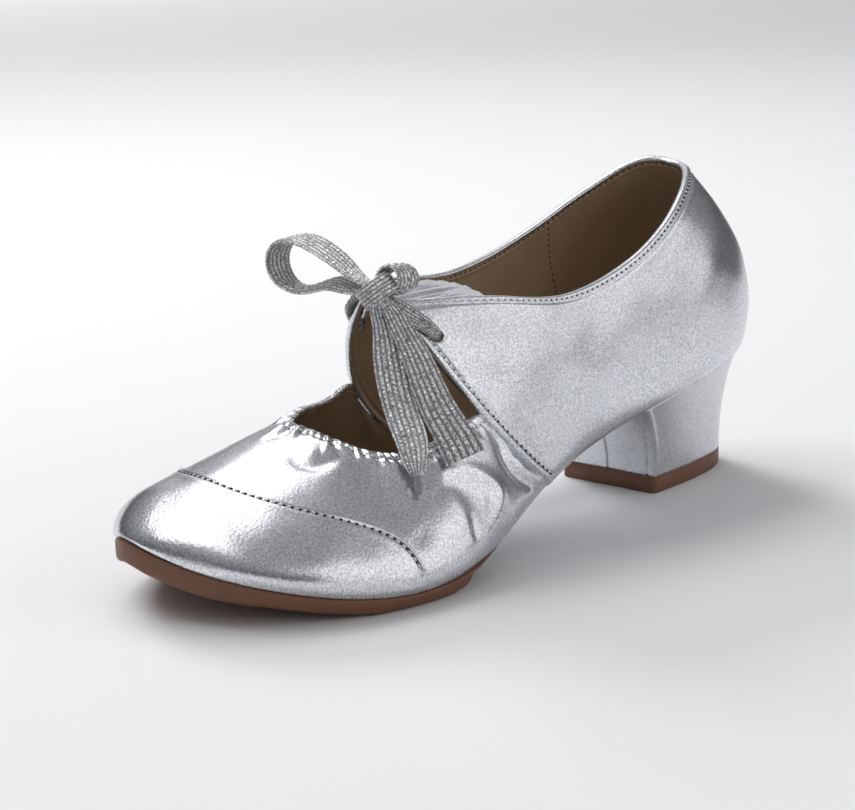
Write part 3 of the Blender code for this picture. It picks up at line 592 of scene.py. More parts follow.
def metallic_yarn(name, tones, roughness, sparkle):
    """Woven yarn with a metal thread: light and dark specks, as large as one stitch of the weave."""
    made, tree, shader, where = new_finish(name)
    specks = add_node(tree, "ShaderNodeTexVoronoi", {"Vector": where, "Scale": 1 / (sparkle * MM)})
    shade = add_node(tree, "ShaderNodeSeparateColor", {0: specks.outputs["Color"]}).outputs[0]
    tree.links.new(two_tone(tree, shade, *tones), shader.inputs["Base Color"])
    add_bump(tree, shader, specks.outputs["Distance"], YARN_BUMP, YARN_DEPTH)
    shader.inputs["Metallic"].default_value = YARN_METAL
    shader.inputs["Roughness"].default_value = roughness
    return made


def shade_between_ribs(made):
    """Paint shade into a ribbon's colour in the hollows between its ribs, read from its own UV map."""
    tree = made.node_tree
    shader = tree.nodes["Principled BSDF"]
    across = add_node(tree, "ShaderNodeSeparateXYZ", {0: add_node(tree, "ShaderNodeTexCoord").outputs["UV"]})
    turn = add_node(tree, "ShaderNodeMath", {0: across.outputs["X"], 1: RIBS * np.pi}, operation="MULTIPLY")
    wave = add_node(tree, "ShaderNodeMath", {0: turn.outputs[0]}, operation="SINE")
    shade_in_hollows = add_node(tree, "ShaderNodeMath", {0: wave.outputs[0], 1: RIB_SHARPNESS}, operation="POWER")
    yarn = shader.inputs["Base Color"].links[0].from_socket
    painted_hollow_shade = add_node(tree, "ShaderNodeMix", {0: shade_in_hollows.outputs[0]}, data_type="RGBA")
    tree.links.new(yarn, painted_hollow_shade.inputs[6])
    painted_hollow_shade.inputs[7].default_value = (*RIB_SHADE, 1.0)
    tree.links.new(painted_hollow_shade.outputs[2], shader.inputs["Base Color"])


def plain_finish(name, colour, roughness, metallic):
    """Thread, foil and the painted shade of needle holes, too small to need a grain."""
    made, tree, shader, where = new_finish(name)
    tones = (dimmed(colour, THREAD_DIM), colour)
    tree.links.new(two_tone(tree, noise_at(tree, where, THREAD_PATCH), *tones), shader.inputs["Base Color"])
    shader.inputs["Roughness"].default_value = roughness
    shader.inputs["Metallic"].default_value = metallic
    return made


ribbon_yarn = metallic_yarn("lace_ribbon", RIBBON_GREY, roughness=0.36, sparkle=0.52)
shade_between_ribs(ribbon_yarn)
elastic = silver_leather("silver_elastic", SILVER, roughness=0.30, strength=0.25, darkest=0.65)
tip_foil = plain_finish("tip_foil", (0.52, 0.52, 0.55), roughness=0.35, metallic=0.8)
silver_thread = plain_finish("silver_thread", (0.86, 0.87, 0.89), roughness=0.45, metallic=0.3)
dark_thread = plain_finish("dark_thread", (0.05, 0.035, 0.025), roughness=0.7, metallic=0.0)
# Painted shade: the needle holes are only shade, so they are near-black beads.
needle_hole_shade = plain_finish("needle_hole_shade", (0.03, 0.03, 0.035), roughness=0.8, metallic=0.0)
print("finishes: ribbon, elastic, threads")

# %% [markdown]
# ## Meshes from grids
# Nearly every piece here is a shell: two grids of points, an outer and an inner one, that are joined round
# their borders. Building it from arrays is quick, keeps the faces pointing out, and lets one function
# thin the shell to a rounded fold along its open edges.

# %% Shell helper
BODY = "root"


def add_piece(name, points, faces, finishes, face_finish=None, uv=None):
    """One named mesh from points in last millimetres, with its faces' finishes and its own UV map."""
    mesh = bpy.data.meshes.new(name)
    mesh.from_pydata(to_row(points).tolist(), [], faces)
    for made in finishes:
        mesh.materials.append(made)
    if face_finish is not None:
        mesh.polygons.foreach_set("material_index", np.asarray(face_finish, np.int32))
    if uv is not None:
        corner = np.empty(len(mesh.loops), np.int32)
        mesh.loops.foreach_get("vertex_index", corner)
        mesh.uv_layers.new(name="UVMap").data.foreach_set("uv", uv[corner].astype(np.float32).ravel())
    mesh.shade_smooth()
    mesh.update()
    return put(name, mesh)


def grid_faces(columns, rows, closed):
    """Point numbers of a grid [column, row], closed on its first column if asked, and its faces."""
    index = np.arange(columns * rows).reshape(columns, rows)
    if closed:
        index = np.vstack([index, index[:1]])
    faces = np.stack([index[:-1, :-1], index[:-1, 1:], index[1:, 1:], index[1:, :-1]], -1)
    return index, faces.reshape(-1, 4)


def shell(outer, inner, closed=False):
    """Points and faces of a closed shell between two grids [column, row], and a mark on its inner faces."""
    index, front = grid_faces(*outer.shape[:2], closed)
    count = outer.shape[0] * outer.shape[1]
    faces = [front, front[:, ::-1] + count]
    borders = [index[:, -1], index[::-1, 0]]
    if not closed:
        borders += [index[0], index[-1, ::-1]]
    for line in borders:
        faces.append(np.stack([line[:-1], line[:-1] + count, line[1:] + count, line[1:]], -1))
    mark = np.zeros(sum(len(part) for part in faces), np.int32)
    mark[len(front):2 * len(front)] = 1
    return np.concatenate([outer.reshape(-1, 3), inner.reshape(-1, 3)]), np.concatenate(faces).tolist(), mark


def add_shell(name, outer, inner, finishes, folded=None):
    """A shell as one piece. Its inner faces take the second finish, except where its edge is folded in."""
    points, faces, mark = shell(outer, inner)
    if folded is None:
        return add_piece(name, points, faces, finishes)
    mark[mark == 1] = np.where(folded[:-1, :-1].ravel(), 0, 1)
    return add_piece(name, points, faces, finishes, mark)


def apply_modifiers(piece):
    """Keep what a piece's modifiers make as its plain mesh."""
    graph = bpy.context.evaluated_depsgraph_get()
    made = bpy.data.meshes.new_from_object(piece.evaluated_get(graph))
    piece.modifiers.clear()
    old = piece.data
    piece.data = made
    bpy.data.meshes.remove(old)
    made.name = piece.name


def read_off(table, at, run):
    """Rows of a table at the distances asked for, run being the distance of each row that it has."""
    return np.column_stack([np.interp(at, run, part) for part in table.T])


def raised(points, out, height):
    """A grid of points moved out by a height at each."""
    return points + out * height[..., None]


def dress(piece, slot, *replaced):
    """Let a finished piece ride on the shoe and hide the solids that it stands for; the slot is not used."""
    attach(piece, BODY)
    if replaced:
        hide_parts(*replaced)
    print(piece.name, len(piece.data.polygons), "faces")
    return piece


# %% [markdown]
# ## The lace
# The lace is a flat ribbon knitted in six ribs. It comes out of one eyelet, crosses the strap to the other,
# and is tied in a bow with a long inner loop, a short outer loop and two hanging ends. Each half of the
# bow is one ribbon: a loop that passes through the knot and goes on as an end. A ribbon is a row of
# points with half its width at each, and the ribs and stitches are real relief in its mesh.

# %% Ribbon helper
RIBBON_HALF_THICKNESS = 0.40
RIB_RELIEF = 0.34
KNIT_PITCH = 1.5
KNIT_RELIEF = 0.22
RIBBON_ACROSS = 49
RIBBON_STEP = 0.3
SELVEDGE_POWER = 10


def ribbon_line(route):
    """Smooth rows of point and half width, evenly spaced along a route."""
    route = np.asarray(route, float)
    knots = run_of(route[:, :3])
    count = int(round(knots[-1] / RIBBON_STEP)) + 1
    return spline(knots, route, np.linspace(0, knots[-1], count))


def add_ribbon(name, line, finish, closed=False):
    """A ribbed flat ribbon along rows of point and half width."""
    middle, half = line[:, :3], line[:, 3:]
    along = run_of(middle)
    tangent = np.gradient(middle, axis=0)
    if closed:
        tangent = np.roll(middle, -1, 0) - np.roll(middle, 1, 0)
    normal = unit(np.cross(tangent, half))
    across = np.sin(np.linspace(-0.5, 0.5, RIBBON_ACROSS) * np.pi)
    rib = np.cos(RIBS * np.pi * across / 2) ** 2
    knit = np.cos(2 * np.pi * along[:, None] / KNIT_PITCH + np.round(across * RIBS / 2)[None, :] * np.pi)
    thick = (RIBBON_HALF_THICKNESS + RIB_RELIEF * rib[None, :]) * (1 + KNIT_RELIEF * knit * rib[None, :])
    thick = thick * np.sqrt(1 - across ** SELVEDGE_POWER)[None, :]
    flat = middle[:, None, :] + half[:, None, :] * across[None, :, None]
    lift = normal[:, None, :] * thick[..., None]
    points, faces, _ = shell(flat - lift, flat + lift, closed)
    width = 2 * np.linalg.norm(half, axis=1).max()
    uv = np.stack(np.broadcast_arrays(0.5 + 0.5 * across[None, :], along[:, None] / width), -1).reshape(-1, 2)
    return add_piece(name, points, faces, [finish], uv=np.vstack([uv, uv]))


print("ribbon:", RIBS, "ribs")

# %% Bow
KNOT_CORE = (159.0, 2.6, 81.2)
CORE_HALF_WIDTH = (1.4, 0.6, 0.0)
LOOP_INNER = (
    # x, y, z, half width along x, y, z
    (160.2, -4.6, 84.6, 3.0, 0.0, 0.0),
    (159.9, -12.6, 88.4, 4.2, 0.0, -0.4),
    (159.9, -22.0, 92.0, 4.7, 0.2, -0.7),
    (160.0, -31.0, 93.4, 4.8, 0.2, -0.5),
    (160.2, -37.6, 91.4, 4.8, 0.1, 0.0),
    (160.4, -40.6, 86.2, 4.8, 0.0, 0.2),
    (160.3, -38.4, 80.5, 4.8, 0.0, 0.3),
    (160.0, -32.5, 77.9, 4.6, -0.2, 0.0),
    (159.8, -24.0, 79.0, 4.2, -0.3, -1.2),
    (159.6, -14.6, 81.4, 3.8, -0.2, -1.5),
    (159.8, -4.8, 80.8, 2.8, 0.0, -0.8),
)
LOOP_OUTER = (
    # x, y, z, half width along x, y, z
    (156.4, 1.6, 84.6, 3.0, 0.6, 0.2),
    (154.4, 2.4, 87.0, 3.9, 0.5, 0.4),
    (153.0, 5.0, 88.2, 4.3, 0.3, 0.5),
    (152.2, 7.6, 86.8, 4.3, 0.2, 0.4),
    (152.0, 8.5, 83.6, 4.2, 0.0, 0.2),
    (153.0, 7.4, 81.4, 3.6, -0.4, 0.0),
    (155.6, 5.2, 80.4, 2.6, -0.6, 0.0),
)
END_FRONT = (
    # x, y, z, half width along x, y, z
    (161.6, 6.0, 77.2, -1.9, 1.9, 0.0),
    (161.8, 7.6, 73.4, -2.4, 2.3, 0.0),
    (163.0, 11.1, 65.5, -3.3, 3.2, 0.1),
    (165.7, 16.4, 55.0, -3.6, 3.5, 0.2),
    (168.2, 23.2, 46.0, -3.6, 3.5, 0.4),
    (171.0, 29.0, 40.6, -3.2, 3.1, 0.4),
    (173.6, 32.6, 36.2, -2.2, 2.0, 0.2),
    (174.6, 34.0, 33.8, -1.2, 1.1, 0.1),
)
END_BACK = (
    # x, y, z, half width along x, y, z
    (160.6, 9.2, 77.6, -1.8, 2.1, 0.5),
    (160.0, 13.0, 72.6, -2.4, 2.5, 0.5),
    (159.9, 19.3, 64.2, -3.0, 3.0, 0.7),
    (160.3, 25.4, 55.0, -3.5, 3.3, 0.9),
    (160.2, 31.0, 47.2, -4.0, 3.6, 1.4),
    (159.6, 36.0, 41.0, -4.4, 3.6, 1.9),
    (159.4, 38.6, 37.0, -4.6, 3.4, 2.2),
)
TIP_ROUTE = (
    # x, y, z, half width along x, y, z
    (174.3, 33.7, 34.6, -0.75, 0.70, 0.0),
    (175.0, 34.9, 32.2, -0.75, 0.70, 0.0),
    (175.7, 36.2, 29.6, -0.70, 0.65, 0.0),
    (175.9, 36.6, 28.9, -0.40, 0.40, 0.0),
)
KNOT_AXIS = unit(np.array([-0.26, 0.53, -0.81]))
KNOT_FRONT = np.array([0.68, 0.70, 0.24])
KNOT_SIZE = (5.4, 4.0)
KNOT_HALF_WIDTH = 3.4
KNOT_TURN = 90


def bow_half(name, loop, end):
    """One half of the bow: out of the knot, round its loop, back through the knot and down its end."""
    inside = (*KNOT_CORE, *CORE_HALF_WIDTH)
    line = ribbon_line((inside, *loop, inside, *end))
    return add_ribbon(name, line, ribbon_yarn), line


def knot_line():
    """The turn of ribbon that is wrapped round the knot."""
    first = unit(np.cross(KNOT_AXIS, KNOT_FRONT))
    second = np.cross(first, KNOT_AXIS)
    angle = np.linspace(0, 2 * np.pi, KNOT_TURN, endpoint=False)[:, None]
    middle = KNOT_CORE + KNOT_SIZE[0] * np.cos(angle) * first + KNOT_SIZE[1] * np.sin(angle) * second
    half = np.broadcast_to(KNOT_AXIS * KNOT_HALF_WIDTH, middle.shape)
    return np.hstack([middle, half])


knot = add_ribbon("bow_knot", knot_line(), ribbon_yarn, closed=True)
dress(knot, "lace_ribbon", "lace_knot")
inner_half, inner_line = bow_half("bow_inner_half", LOOP_INNER, END_FRONT)
dress(inner_half, "lace_ribbon", "lace_loop_inner", "lace_end_front")
outer_half, outer_line = bow_half("bow_outer_half", LOOP_OUTER, END_BACK)
dress(outer_half, "lace_ribbon", "lace_loop_outer", "lace_end_back")
tip = add_ribbon("lace_tip", ribbon_line(TIP_ROUTE), tip_foil)
dress(tip, "lace_ribbon")
for piece, line, extra in ((inner_half, inner_line, [knot, tip]), (outer_half, outer_line, [])):
    path = to_row(line[:, :3])
    width = 2 * np.median(np.linalg.norm(line[:, 3:], axis=1)) * MM
    print(piece.name, round(run_of(path)[-1] / MM), "mm long,", round(width / MM, 1), "mm wide")

# %% [markdown]
# The crossing is the stretch of lace between the eyelets. It lies over the two wings and the strap, under
# the knot, and at both ends it turns down into its eyelet and is gone.

# %% Lace crossing
EYELET_FOOT = 0.4645
EYELET_SHARE = 0.84
EYELET_LONG = 3.4
EYELET_SHORT = 2.2
STRAP_FEET = (0.394, 0.475)
STRAP_TUCK = (0.90, 0.94, 0.98)
WING_FOOT = 0.36
WING_SHARE = 0.6
WING_SAMPLES = (41, 81)
BAR_MIDDLE = (155.4, 0.4, 80.2)
BAR_HALF_WIDTH = (-2.6, 0.0, 0.0)
BAR_ROUTE = (
    # millimetres from the eyelet towards the knot, height above the leather, half width
    (-2.5, -2.5, 1.5),
    (-2.0, -1.4, 1.6),
    (-0.6, -0.1, 1.8),
    (2.4, 1.0, 2.2),
    (7.0, 1.5, 2.7),
    (12.0, 1.7, 2.8),
)
BAR_TURN = 0.93


def eyelet_frame(side):
    """Centre of an eyelet, and its directions towards the knot, across and out of the leather."""
    u = quarter_at(EYELET_FOOT, side)
    centre = quarter(u, EYELET_SHARE)
    out = quarter_normal(u, EYELET_SHARE)
    towards = quarter(quarter_at(STRAP_FEET[1], side), BAR_TURN) - centre
    towards = unit(towards - out * (towards @ out))
    return centre, towards, np.cross(out, towards), out


def on_quarter(point, side):
    """The quarters' surface point nearest to a point, and the direction out of it."""
    u = np.linspace(quarter_at(WING_FOOT, side), QUARTER_KNOTS[-1 if side > 0 else 0], WING_SAMPLES[0])
    grid_u, grid_t = np.meshgrid(u, np.linspace(WING_SHARE, 1.0, WING_SAMPLES[1]), indexing="ij")
    gap = np.linalg.norm(quarter(grid_u, grid_t) - point, axis=-1)
    k = np.unravel_index(np.argmin(gap), gap.shape)
    return quarter(grid_u[k], grid_t[k]), quarter_normal(grid_u[k], grid_t[k])


def bar_route():
    """Out of one eyelet, over the wings and the strap, and into the other eyelet."""
    rows = []
    for side, table in ((1, BAR_ROUTE), (-1, BAR_ROUTE[::-1])):
        centre, towards, across, _ = eyelet_frame(side)
        for away, lift, half in table:
            place, out = on_quarter(centre + towards * away, side)
            rows.append((*(place + out * (lift + QUARTER_STEP)), *(across * side * half)))
        if side > 0:
            rows.append((*BAR_MIDDLE, *BAR_HALF_WIDTH))
    return rows


crossing = add_ribbon("lace_crossing", ribbon_line(bar_route()), ribbon_yarn)
dress(crossing, "lace_ribbon", "lace_bar")

# %% [markdown]
# ## The upper's panels
# Vamp, toe cap and quarters are each a shell that follows the last. A column of points starts under the
# foot, turns round the feather edge and climbs to an opening. Rows are set by their distance from that
# opening's edge, so a seam or a gather can be placed in millimetres from it.

# %% Panel grids
CORNER_RADIUS = 1.1
MARGIN = 12.0
WAIST_CLOSED = (62.0, 166.0)
UNDER_ROWS = 6
CORNER_ROWS = 5
FIRST_WALL = UNDER_ROWS + CORNER_ROWS
STEP_ROWS = (UNDER_ROWS - 1, FIRST_WALL)
RELIEF_ROWS = (UNDER_ROWS, FIRST_WALL + 4)
FINE_STEPS = (0.0, 0.1, 0.25, 0.45, 0.7, 1.0, 1.4, 1.8, 2.2, 2.6, 3.0)
EDGE_ROWS = np.array((*FINE_STEPS, 3.4, 3.8, 4.3, 4.8, 5.3, 5.8, 6.4, 7.1, 8.0))
EDGE_COLUMNS = np.array((*FINE_STEPS, 3.5, 4.2, 5.0))
EDGE_ROUND = 0.9
ROLL = 1.3
ROLL_REACH = 5.0
HEEL_FADE = (5.0, 45.0)
TOE_FADE = (228.0, 244.0)
TIP_LOSS = 0.9
LINING_FOLLOWS = 0.8
CURVE_SAMPLES = 161


def even_columns(controls, low, high, count):
    """Loop parameters that step evenly along a panel, with finer steps at its two ends."""
    u = np.linspace(low, high, LOOP_SAMPLES)
    shapes = controls(u)
    along = np.mean([run_of(bezier(shapes, np.full(u.shape, t))) for t in (0.0, 0.5, 1.0)], axis=0)
    middle = np.linspace(EDGE_COLUMNS[-1], along[-1] - EDGE_COLUMNS[-1], count)[1:-1]
    return np.interp(np.concatenate([EDGE_COLUMNS, middle, along[-1] - EDGE_COLUMNS[::-1]]), along, u)


def under_foot(u):
    """Points of one column under the foot: from its end, or the waist's middle, out and round the corner."""
    foot = feather(u)
    side = 1 if 0 < np.mod(u, LOOP_END) < LOOP_TIP else -1
    end = foot - outward(u) * MARGIN
    if WAIST_CLOSED[0] < foot[0] < WAIST_CLOSED[1]:
        end = 0.5 * (foot + feather(loop_at(foot[0], -side)))
    reach = np.linalg.norm((end - foot)[:2])
    inward = (end - foot)[:2] / reach
    points = []
    for distance in np.linspace(reach, CORNER_RADIUS, UNDER_ROWS):
        x, y = foot[:2] + inward * distance
        points.append((x, y, floor_line(x)))
    for angle in np.linspace(0, np.pi / 2, CORNER_ROWS + 2)[1:-1]:
        step = inward * CORNER_RADIUS * (1 - np.sin(angle))
        points.append((*(foot[:2] + step), foot[2] + CORNER_RADIUS * (1 - np.cos(angle))))
    return np.array(points)


def panel_grid(controls, columns, wall_rows):
    """Points [column, row] of a panel's outer face, their distance from its edge and from the feather."""
    points = []
    away = []
    rise = []
    for u, shape in zip(columns, controls(columns)):
        start = CORNER_RADIUS / (3 * (shape[1] - shape[0])[2])
        line = bezier(np.broadcast_to(shape, (CURVE_SAMPLES, 4, 3)), np.linspace(start, 1, CURVE_SAMPLES))
        run = run_of(line)
        down = np.concatenate([np.linspace(run[-1], EDGE_ROWS[-1], wall_rows)[:-1], EDGE_ROWS[::-1]])
        under = under_foot(u)
        points.append(np.vstack([under, read_off(line, run[-1] - down, run)]))
        away.append(np.concatenate([np.full(len(under), run[-1]), down]))
        rise.append(np.concatenate([np.zeros(len(under)), run[-1] - down]))
    return np.array(points), np.array(away), np.array(rise)


def grid_normals(points):
    """Outward directions of a panel's grid."""
    around = np.gradient(points, axis=0)
    up = np.gradient(points, axis=1)
    return unit(np.cross(up, around))


def rounded(distance):
    """How full a shell's thickness is at a distance from its folded edge."""
    return np.sqrt(1 - (1 - np.clip(distance / EDGE_ROUND, 0, 1)) ** 2)


def at_the_tip(x):
    """Share of their height that raised forms keep at the tip of the toe, where leather is pulled tight."""
    return 1 - TIP_LOSS * smooth(x, *TOE_FADE)


def feather_roll(rise, x):
    """The wall bulges a little just above the sole, as leather does that is pulled under the foot."""
    share = rise / ROLL_REACH
    return ROLL * share * np.exp(1 - share) * smooth(x, *HEEL_FADE) * at_the_tip(x)


def over_rows(points, rows):
    """Runs softly from 0 to 1 between two of a panel's rows."""
    return smooth(np.arange(points.shape[1]), *rows)


print("panel rows:", FIRST_WALL, "under the foot,", len(EDGE_ROWS), "at the edge")

# %% [markdown]
# Leather is never quite even. Soft folds are listed one by one: each is a short line on the shoe with a width
# and a height, and a trough has a height below zero. A few slow waves make the mirrored lights wander.

# %% Folds and waves
FOLD_POINTS = 25
FOLD_ENDS = (0.08, 0.92)
FOLD_POWER = 0.6
SEAM_SWELL = 0.28
SEAM_DIP = (0.30, 0.5)
SEAM_BANK = (0.10, 0.9, 1.6)
SEAM_CROSSING = (1.0, 4.0)
WAVES = (
    # along x, y, z (turns per millimetre), start, height
    ((0.031, 0.012, 0.022), 0.4, 0.10),
    ((-0.014, 0.038, 0.027), 1.9, 0.09),
    ((0.052, -0.021, 0.034), 2.7, 0.06),
    ((0.023, 0.045, -0.061), 4.4, 0.05),
)


def near_line(points, line):
    """Distance of each point from a polyline, and how far along it the nearest place is."""
    flat = points.reshape(-1, 3)
    best = np.full(len(flat), np.inf)
    along = np.zeros(len(flat))
    run = run_of(line)
    for start, step, size, done in zip(line[:-1], np.diff(line, axis=0), np.diff(run), run[:-1]):
        share = np.clip((flat - start) @ step / size ** 2, 0, 1)
        gap = np.linalg.norm(flat - start - share[:, None] * step, axis=1)
        closer = gap < best
        best[closer] = gap[closer]
        along[closer] = (done + share * size)[closer]
    return best.reshape(points.shape[:-1]), along.reshape(points.shape[:-1])


def folds(points, table):
    """Height of listed soft folds over a grid of points."""
    height = np.zeros(points.shape[:-1])
    for width, rise, *line in table:
        line = np.array(line)
        knots = run_of(line)
        line = spline(knots, line, np.linspace(0, knots[-1], FOLD_POINTS))
        gap, along = near_line(points, line)
        ends = np.sin(np.pi * np.clip(along / run_of(line)[-1], *FOLD_ENDS)) ** FOLD_POWER
        height += rise * ends * bell(gap, width)
    return height


def waves(points):
    """Slow uneven waves over a grid of points."""
    height = np.zeros(points.shape[:-1])
    for turn, start, rise in WAVES:
        height += rise * np.sin(2 * np.pi * points @ np.array(turn) + start)
    return height


def seam_roll(distance, seam):
    """A folded edge: it swells up to its seam, dips under the thread and rises again."""
    swell = SEAM_SWELL * np.sin(np.pi * np.clip(distance / seam, 0, 1))
    depth, dip_width = SEAM_DIP
    rise, bank_width, beyond = SEAM_BANK
    bank = rise * bell(distance - seam - beyond, bank_width)
    return swell - depth * bell(distance - seam, dip_width) + bank


print("waves:", len(WAVES))

# %% [markdown]
# ## Quarters
# The quarters are one wall from wing to wing round the heel. Their edges are folded and stitched, and two
# oval eyelets are punched near the tips of the wings. The fold comes from thinning the shell towards its
# edge; the eyelets are cut with a Boolean, which is the plain way to punch a hole through both faces.

# %% Quarters
QUARTER_COLUMNS = 300
QUARTER_WALL_ROWS = 58
COLLAR_SEAM = 1.9
COLLAR_GROOVE = 2.8
FRONT_SEAM = 2.7
COLLAR_FOLD = 1.5
EYELET_POINTS = 48
EYELET_REACH = 5
QUARTER_FOLDS = (
    # width, height, then points on the shoe
    (5.0, -0.35, (148.0, 19.5, 69.0), (140.0, 23.5, 66.5), (131.0, 27.0, 63.5)),
    (4.5, -0.30, (146.0, 20.5, 66.0), (139.0, 26.5, 58.0), (133.0, 30.0, 50.0)),
    (7.0, 0.35, (128.0, 30.5, 58.0), (122.0, 32.0, 48.0), (116.0, 33.0, 38.0)),
    (6.0, -0.30, (118.0, 31.0, 60.0), (112.0, 32.0, 48.0), (104.0, 32.0, 38.0)),
    (5.0, -0.35, (148.0, -17.5, 69.0), (140.0, -21.5, 66.5), (131.0, -25.0, 63.5)),
    (7.0, 0.35, (128.0, -27.5, 58.0), (122.0, -28.0, 48.0), (116.0, -28.0, 38.0)),
)


def eyelet_cutter(side):
    """Oval pin through the wall where the lace goes in."""
    centre, slide, climb, out = eyelet_frame(side)
    angle = np.linspace(0, 2 * np.pi, EYELET_POINTS, endpoint=False)[:, None]
    ring = centre + EYELET_LONG * np.cos(angle) * slide + EYELET_SHORT * np.sin(angle) * climb
    points = np.vstack([ring - out * EYELET_REACH, ring + out * EYELET_REACH])
    low = np.arange(EYELET_POINTS)
    high = low + EYELET_POINTS
    sides = np.stack([low, np.roll(low, -1), np.roll(high, -1), high], -1).tolist()
    mesh = bpy.data.meshes.new("eyelet_cutter")
    mesh.from_pydata(to_row(points).tolist(), [], [*sides, low[::-1].tolist(), high.tolist()])
    return put("eyelet_cutter", mesh)


def punch(piece, cutters):
    """Cut holes into a piece."""
    for cutter in cutters:
        hole = piece.modifiers.new("eyelet", "BOOLEAN")
        hole.object = cutter
        hole.operation = "DIFFERENCE"
        hole.solver = "EXACT"
    apply_modifiers(piece)
    for cutter in cutters:
        bpy.data.objects.remove(cutter)


quarter_u = even_columns(quarter_controls, QUARTER_KNOTS[0], QUARTER_KNOTS[-1], QUARTER_COLUMNS)
quarter_points, quarter_down, quarter_rise = panel_grid(quarter_controls, quarter_u, QUARTER_WALL_ROWS)
quarter_out = grid_normals(quarter_points)
front_lines = [quarter_points[end, FIRST_WALL - 1:] for end in (0, -1)]
quarter_front = np.minimum(*[near_line(quarter_points, line)[0] for line in front_lines])
quarter_edge = np.minimum(quarter_down, quarter_front)
quarter_relief = seam_roll(quarter_down, COLLAR_GROOVE) * smooth(quarter_front, *SEAM_CROSSING)
quarter_relief += seam_roll(quarter_front, FRONT_SEAM) * smooth(quarter_down, *SEAM_CROSSING)
quarter_relief += folds(quarter_points, QUARTER_FOLDS) + waves(quarter_points)
quarter_relief *= over_rows(quarter_points, RELIEF_ROWS)
quarter_relief += feather_roll(quarter_rise, quarter_points[..., 0])
quarter_top = QUARTER_STEP * over_rows(quarter_points, STEP_ROWS) + quarter_relief
quarter_low = LINING_FOLLOWS * quarter_relief - WALL
quarter_mid = 0.5 * (quarter_top + quarter_low)
quarter_half = 0.5 * (quarter_top - quarter_low) * rounded(quarter_edge)
quarter_face = raised(quarter_points, quarter_out, quarter_mid + quarter_half)
quarter_lining = raised(quarter_points, quarter_out, quarter_mid - quarter_half)
quarters = add_shell("quarter_leather", quarter_face, quarter_lining, [leather, lining],
                     quarter_edge < COLLAR_FOLD)
punch(quarters, [eyelet_cutter(1), eyelet_cutter(-1)])
dress(quarters, "silver_leather", "upper")

# %% [markdown]
# ## Vamp
# The vamp covers the toes. Its throat is drawn in on a narrow elastic casing, so the leather puckers: fine
# pleats cross the casing, dip where it is stitched and die away below it. Each pleat gets its own width,
# length and lean from a fixed seed. The big folds beside the wing, where the foot bends, and the soft dent
# on top are listed one by one.

# %% Vamp
VAMP_COLUMNS = 560
VAMP_WALL_ROWS = 46
CASING = 3.4
CASING_DIP = (0.30, 0.5)
THROAT_FOLD = 1.0
NOTCH_FADE = (0.0, 2.0)
PLEAT_SEED = 7
PLEAT_ENDS = 1.0
PLEAT_RISE = 1.0
PLEAT_WIDTHS = (0.55, 0.90)
PLEAT_HEIGHTS = (0.4, 1.0)
PLEAT_LENGTHS = (4.5, 9.5)
PLEAT_LEAN = 0.22
PLEAT_PIVOT = 2.0
PLEAT_GAPS = (2.3, 3.2)
PLEAT_SPREAD = 0.07
PLEAT_FULL = 0.30
PLEAT_HEM = (0.35, 2.4)
FRONT_REACH = 18.0
FRONT_WIDER = 0.45
FRONT_HIGHER = 0.30
FRONT_LONGER = 0.35
VAMP_FOLDS = (
    # width, height, then points on the shoe
    (2.6, -0.75, (197.0, 6.3, 40.7), (198.7, 11.0, 39.0), (196.5, 14.5, 38.3), (191.4, 15.8, 39.0),
     (187.1, 15.2, 39.8)),
    (3.6, 0.55, (194.5, 7.5, 41.3), (190.0, 11.0, 41.2)),
    (1.7, 0.70, (197.5, -6.3, 43.1), (193.6, -5.1, 44.3), (189.3, -4.2, 45.4)),
    (1.5, -0.50, (196.5, -2.6, 43.2), (190.8, -0.9, 44.4)),
    (4.6, -1.1, (181.5, 23.0, 35.3), (184.7, 29.4, 29.6), (184.1, 35.1, 24.7), (181.0, 40.7, 19.6)),
    (4.2, 0.9, (167.4, 36.0, 30.1), (165.5, 41.7, 23.1), (165.0, 45.8, 15.8)),
    (1.5, -0.6, (162.0, 42.8, 20.2), (162.1, 43.8, 18.3), (162.8, 46.1, 14.1)),
    (4.6, -0.7, (167.0, 35.7, 30.6), (160.2, 37.7, 28.6), (152.1, 38.7, 25.9)),
    (2.6, 0.8, (162.4, 34.3, 34.1), (149.6, 37.5, 29.1), (146.1, 38.9, 24.3), (151.9, 42.8, 17.9),
     (157.0, 44.4, 14.8)),
    (2.4, -1.6, (138.7, 31.2, 37.8), (137.9, 33.6, 30.8), (134.9, 34.8, 25.5), (126.8, 35.0, 20.7)),
    (2.8, 0.9, (135.3, 34.0, 30.6), (130.5, 34.8, 26.7), (126.4, 34.6, 23.3)),
    (3.4, -1.2, (139.0, -25.5, 40.0), (137.0, -27.5, 32.0), (131.0, -27.5, 25.0)),
    (4.0, 0.8, (148.0, -27.5, 37.0), (152.0, -30.5, 28.0), (156.0, -33.5, 20.0)),
    (4.5, -0.8, (164.0, -27.0, 36.0), (169.0, -32.0, 28.0), (172.0, -36.0, 19.0)),
)


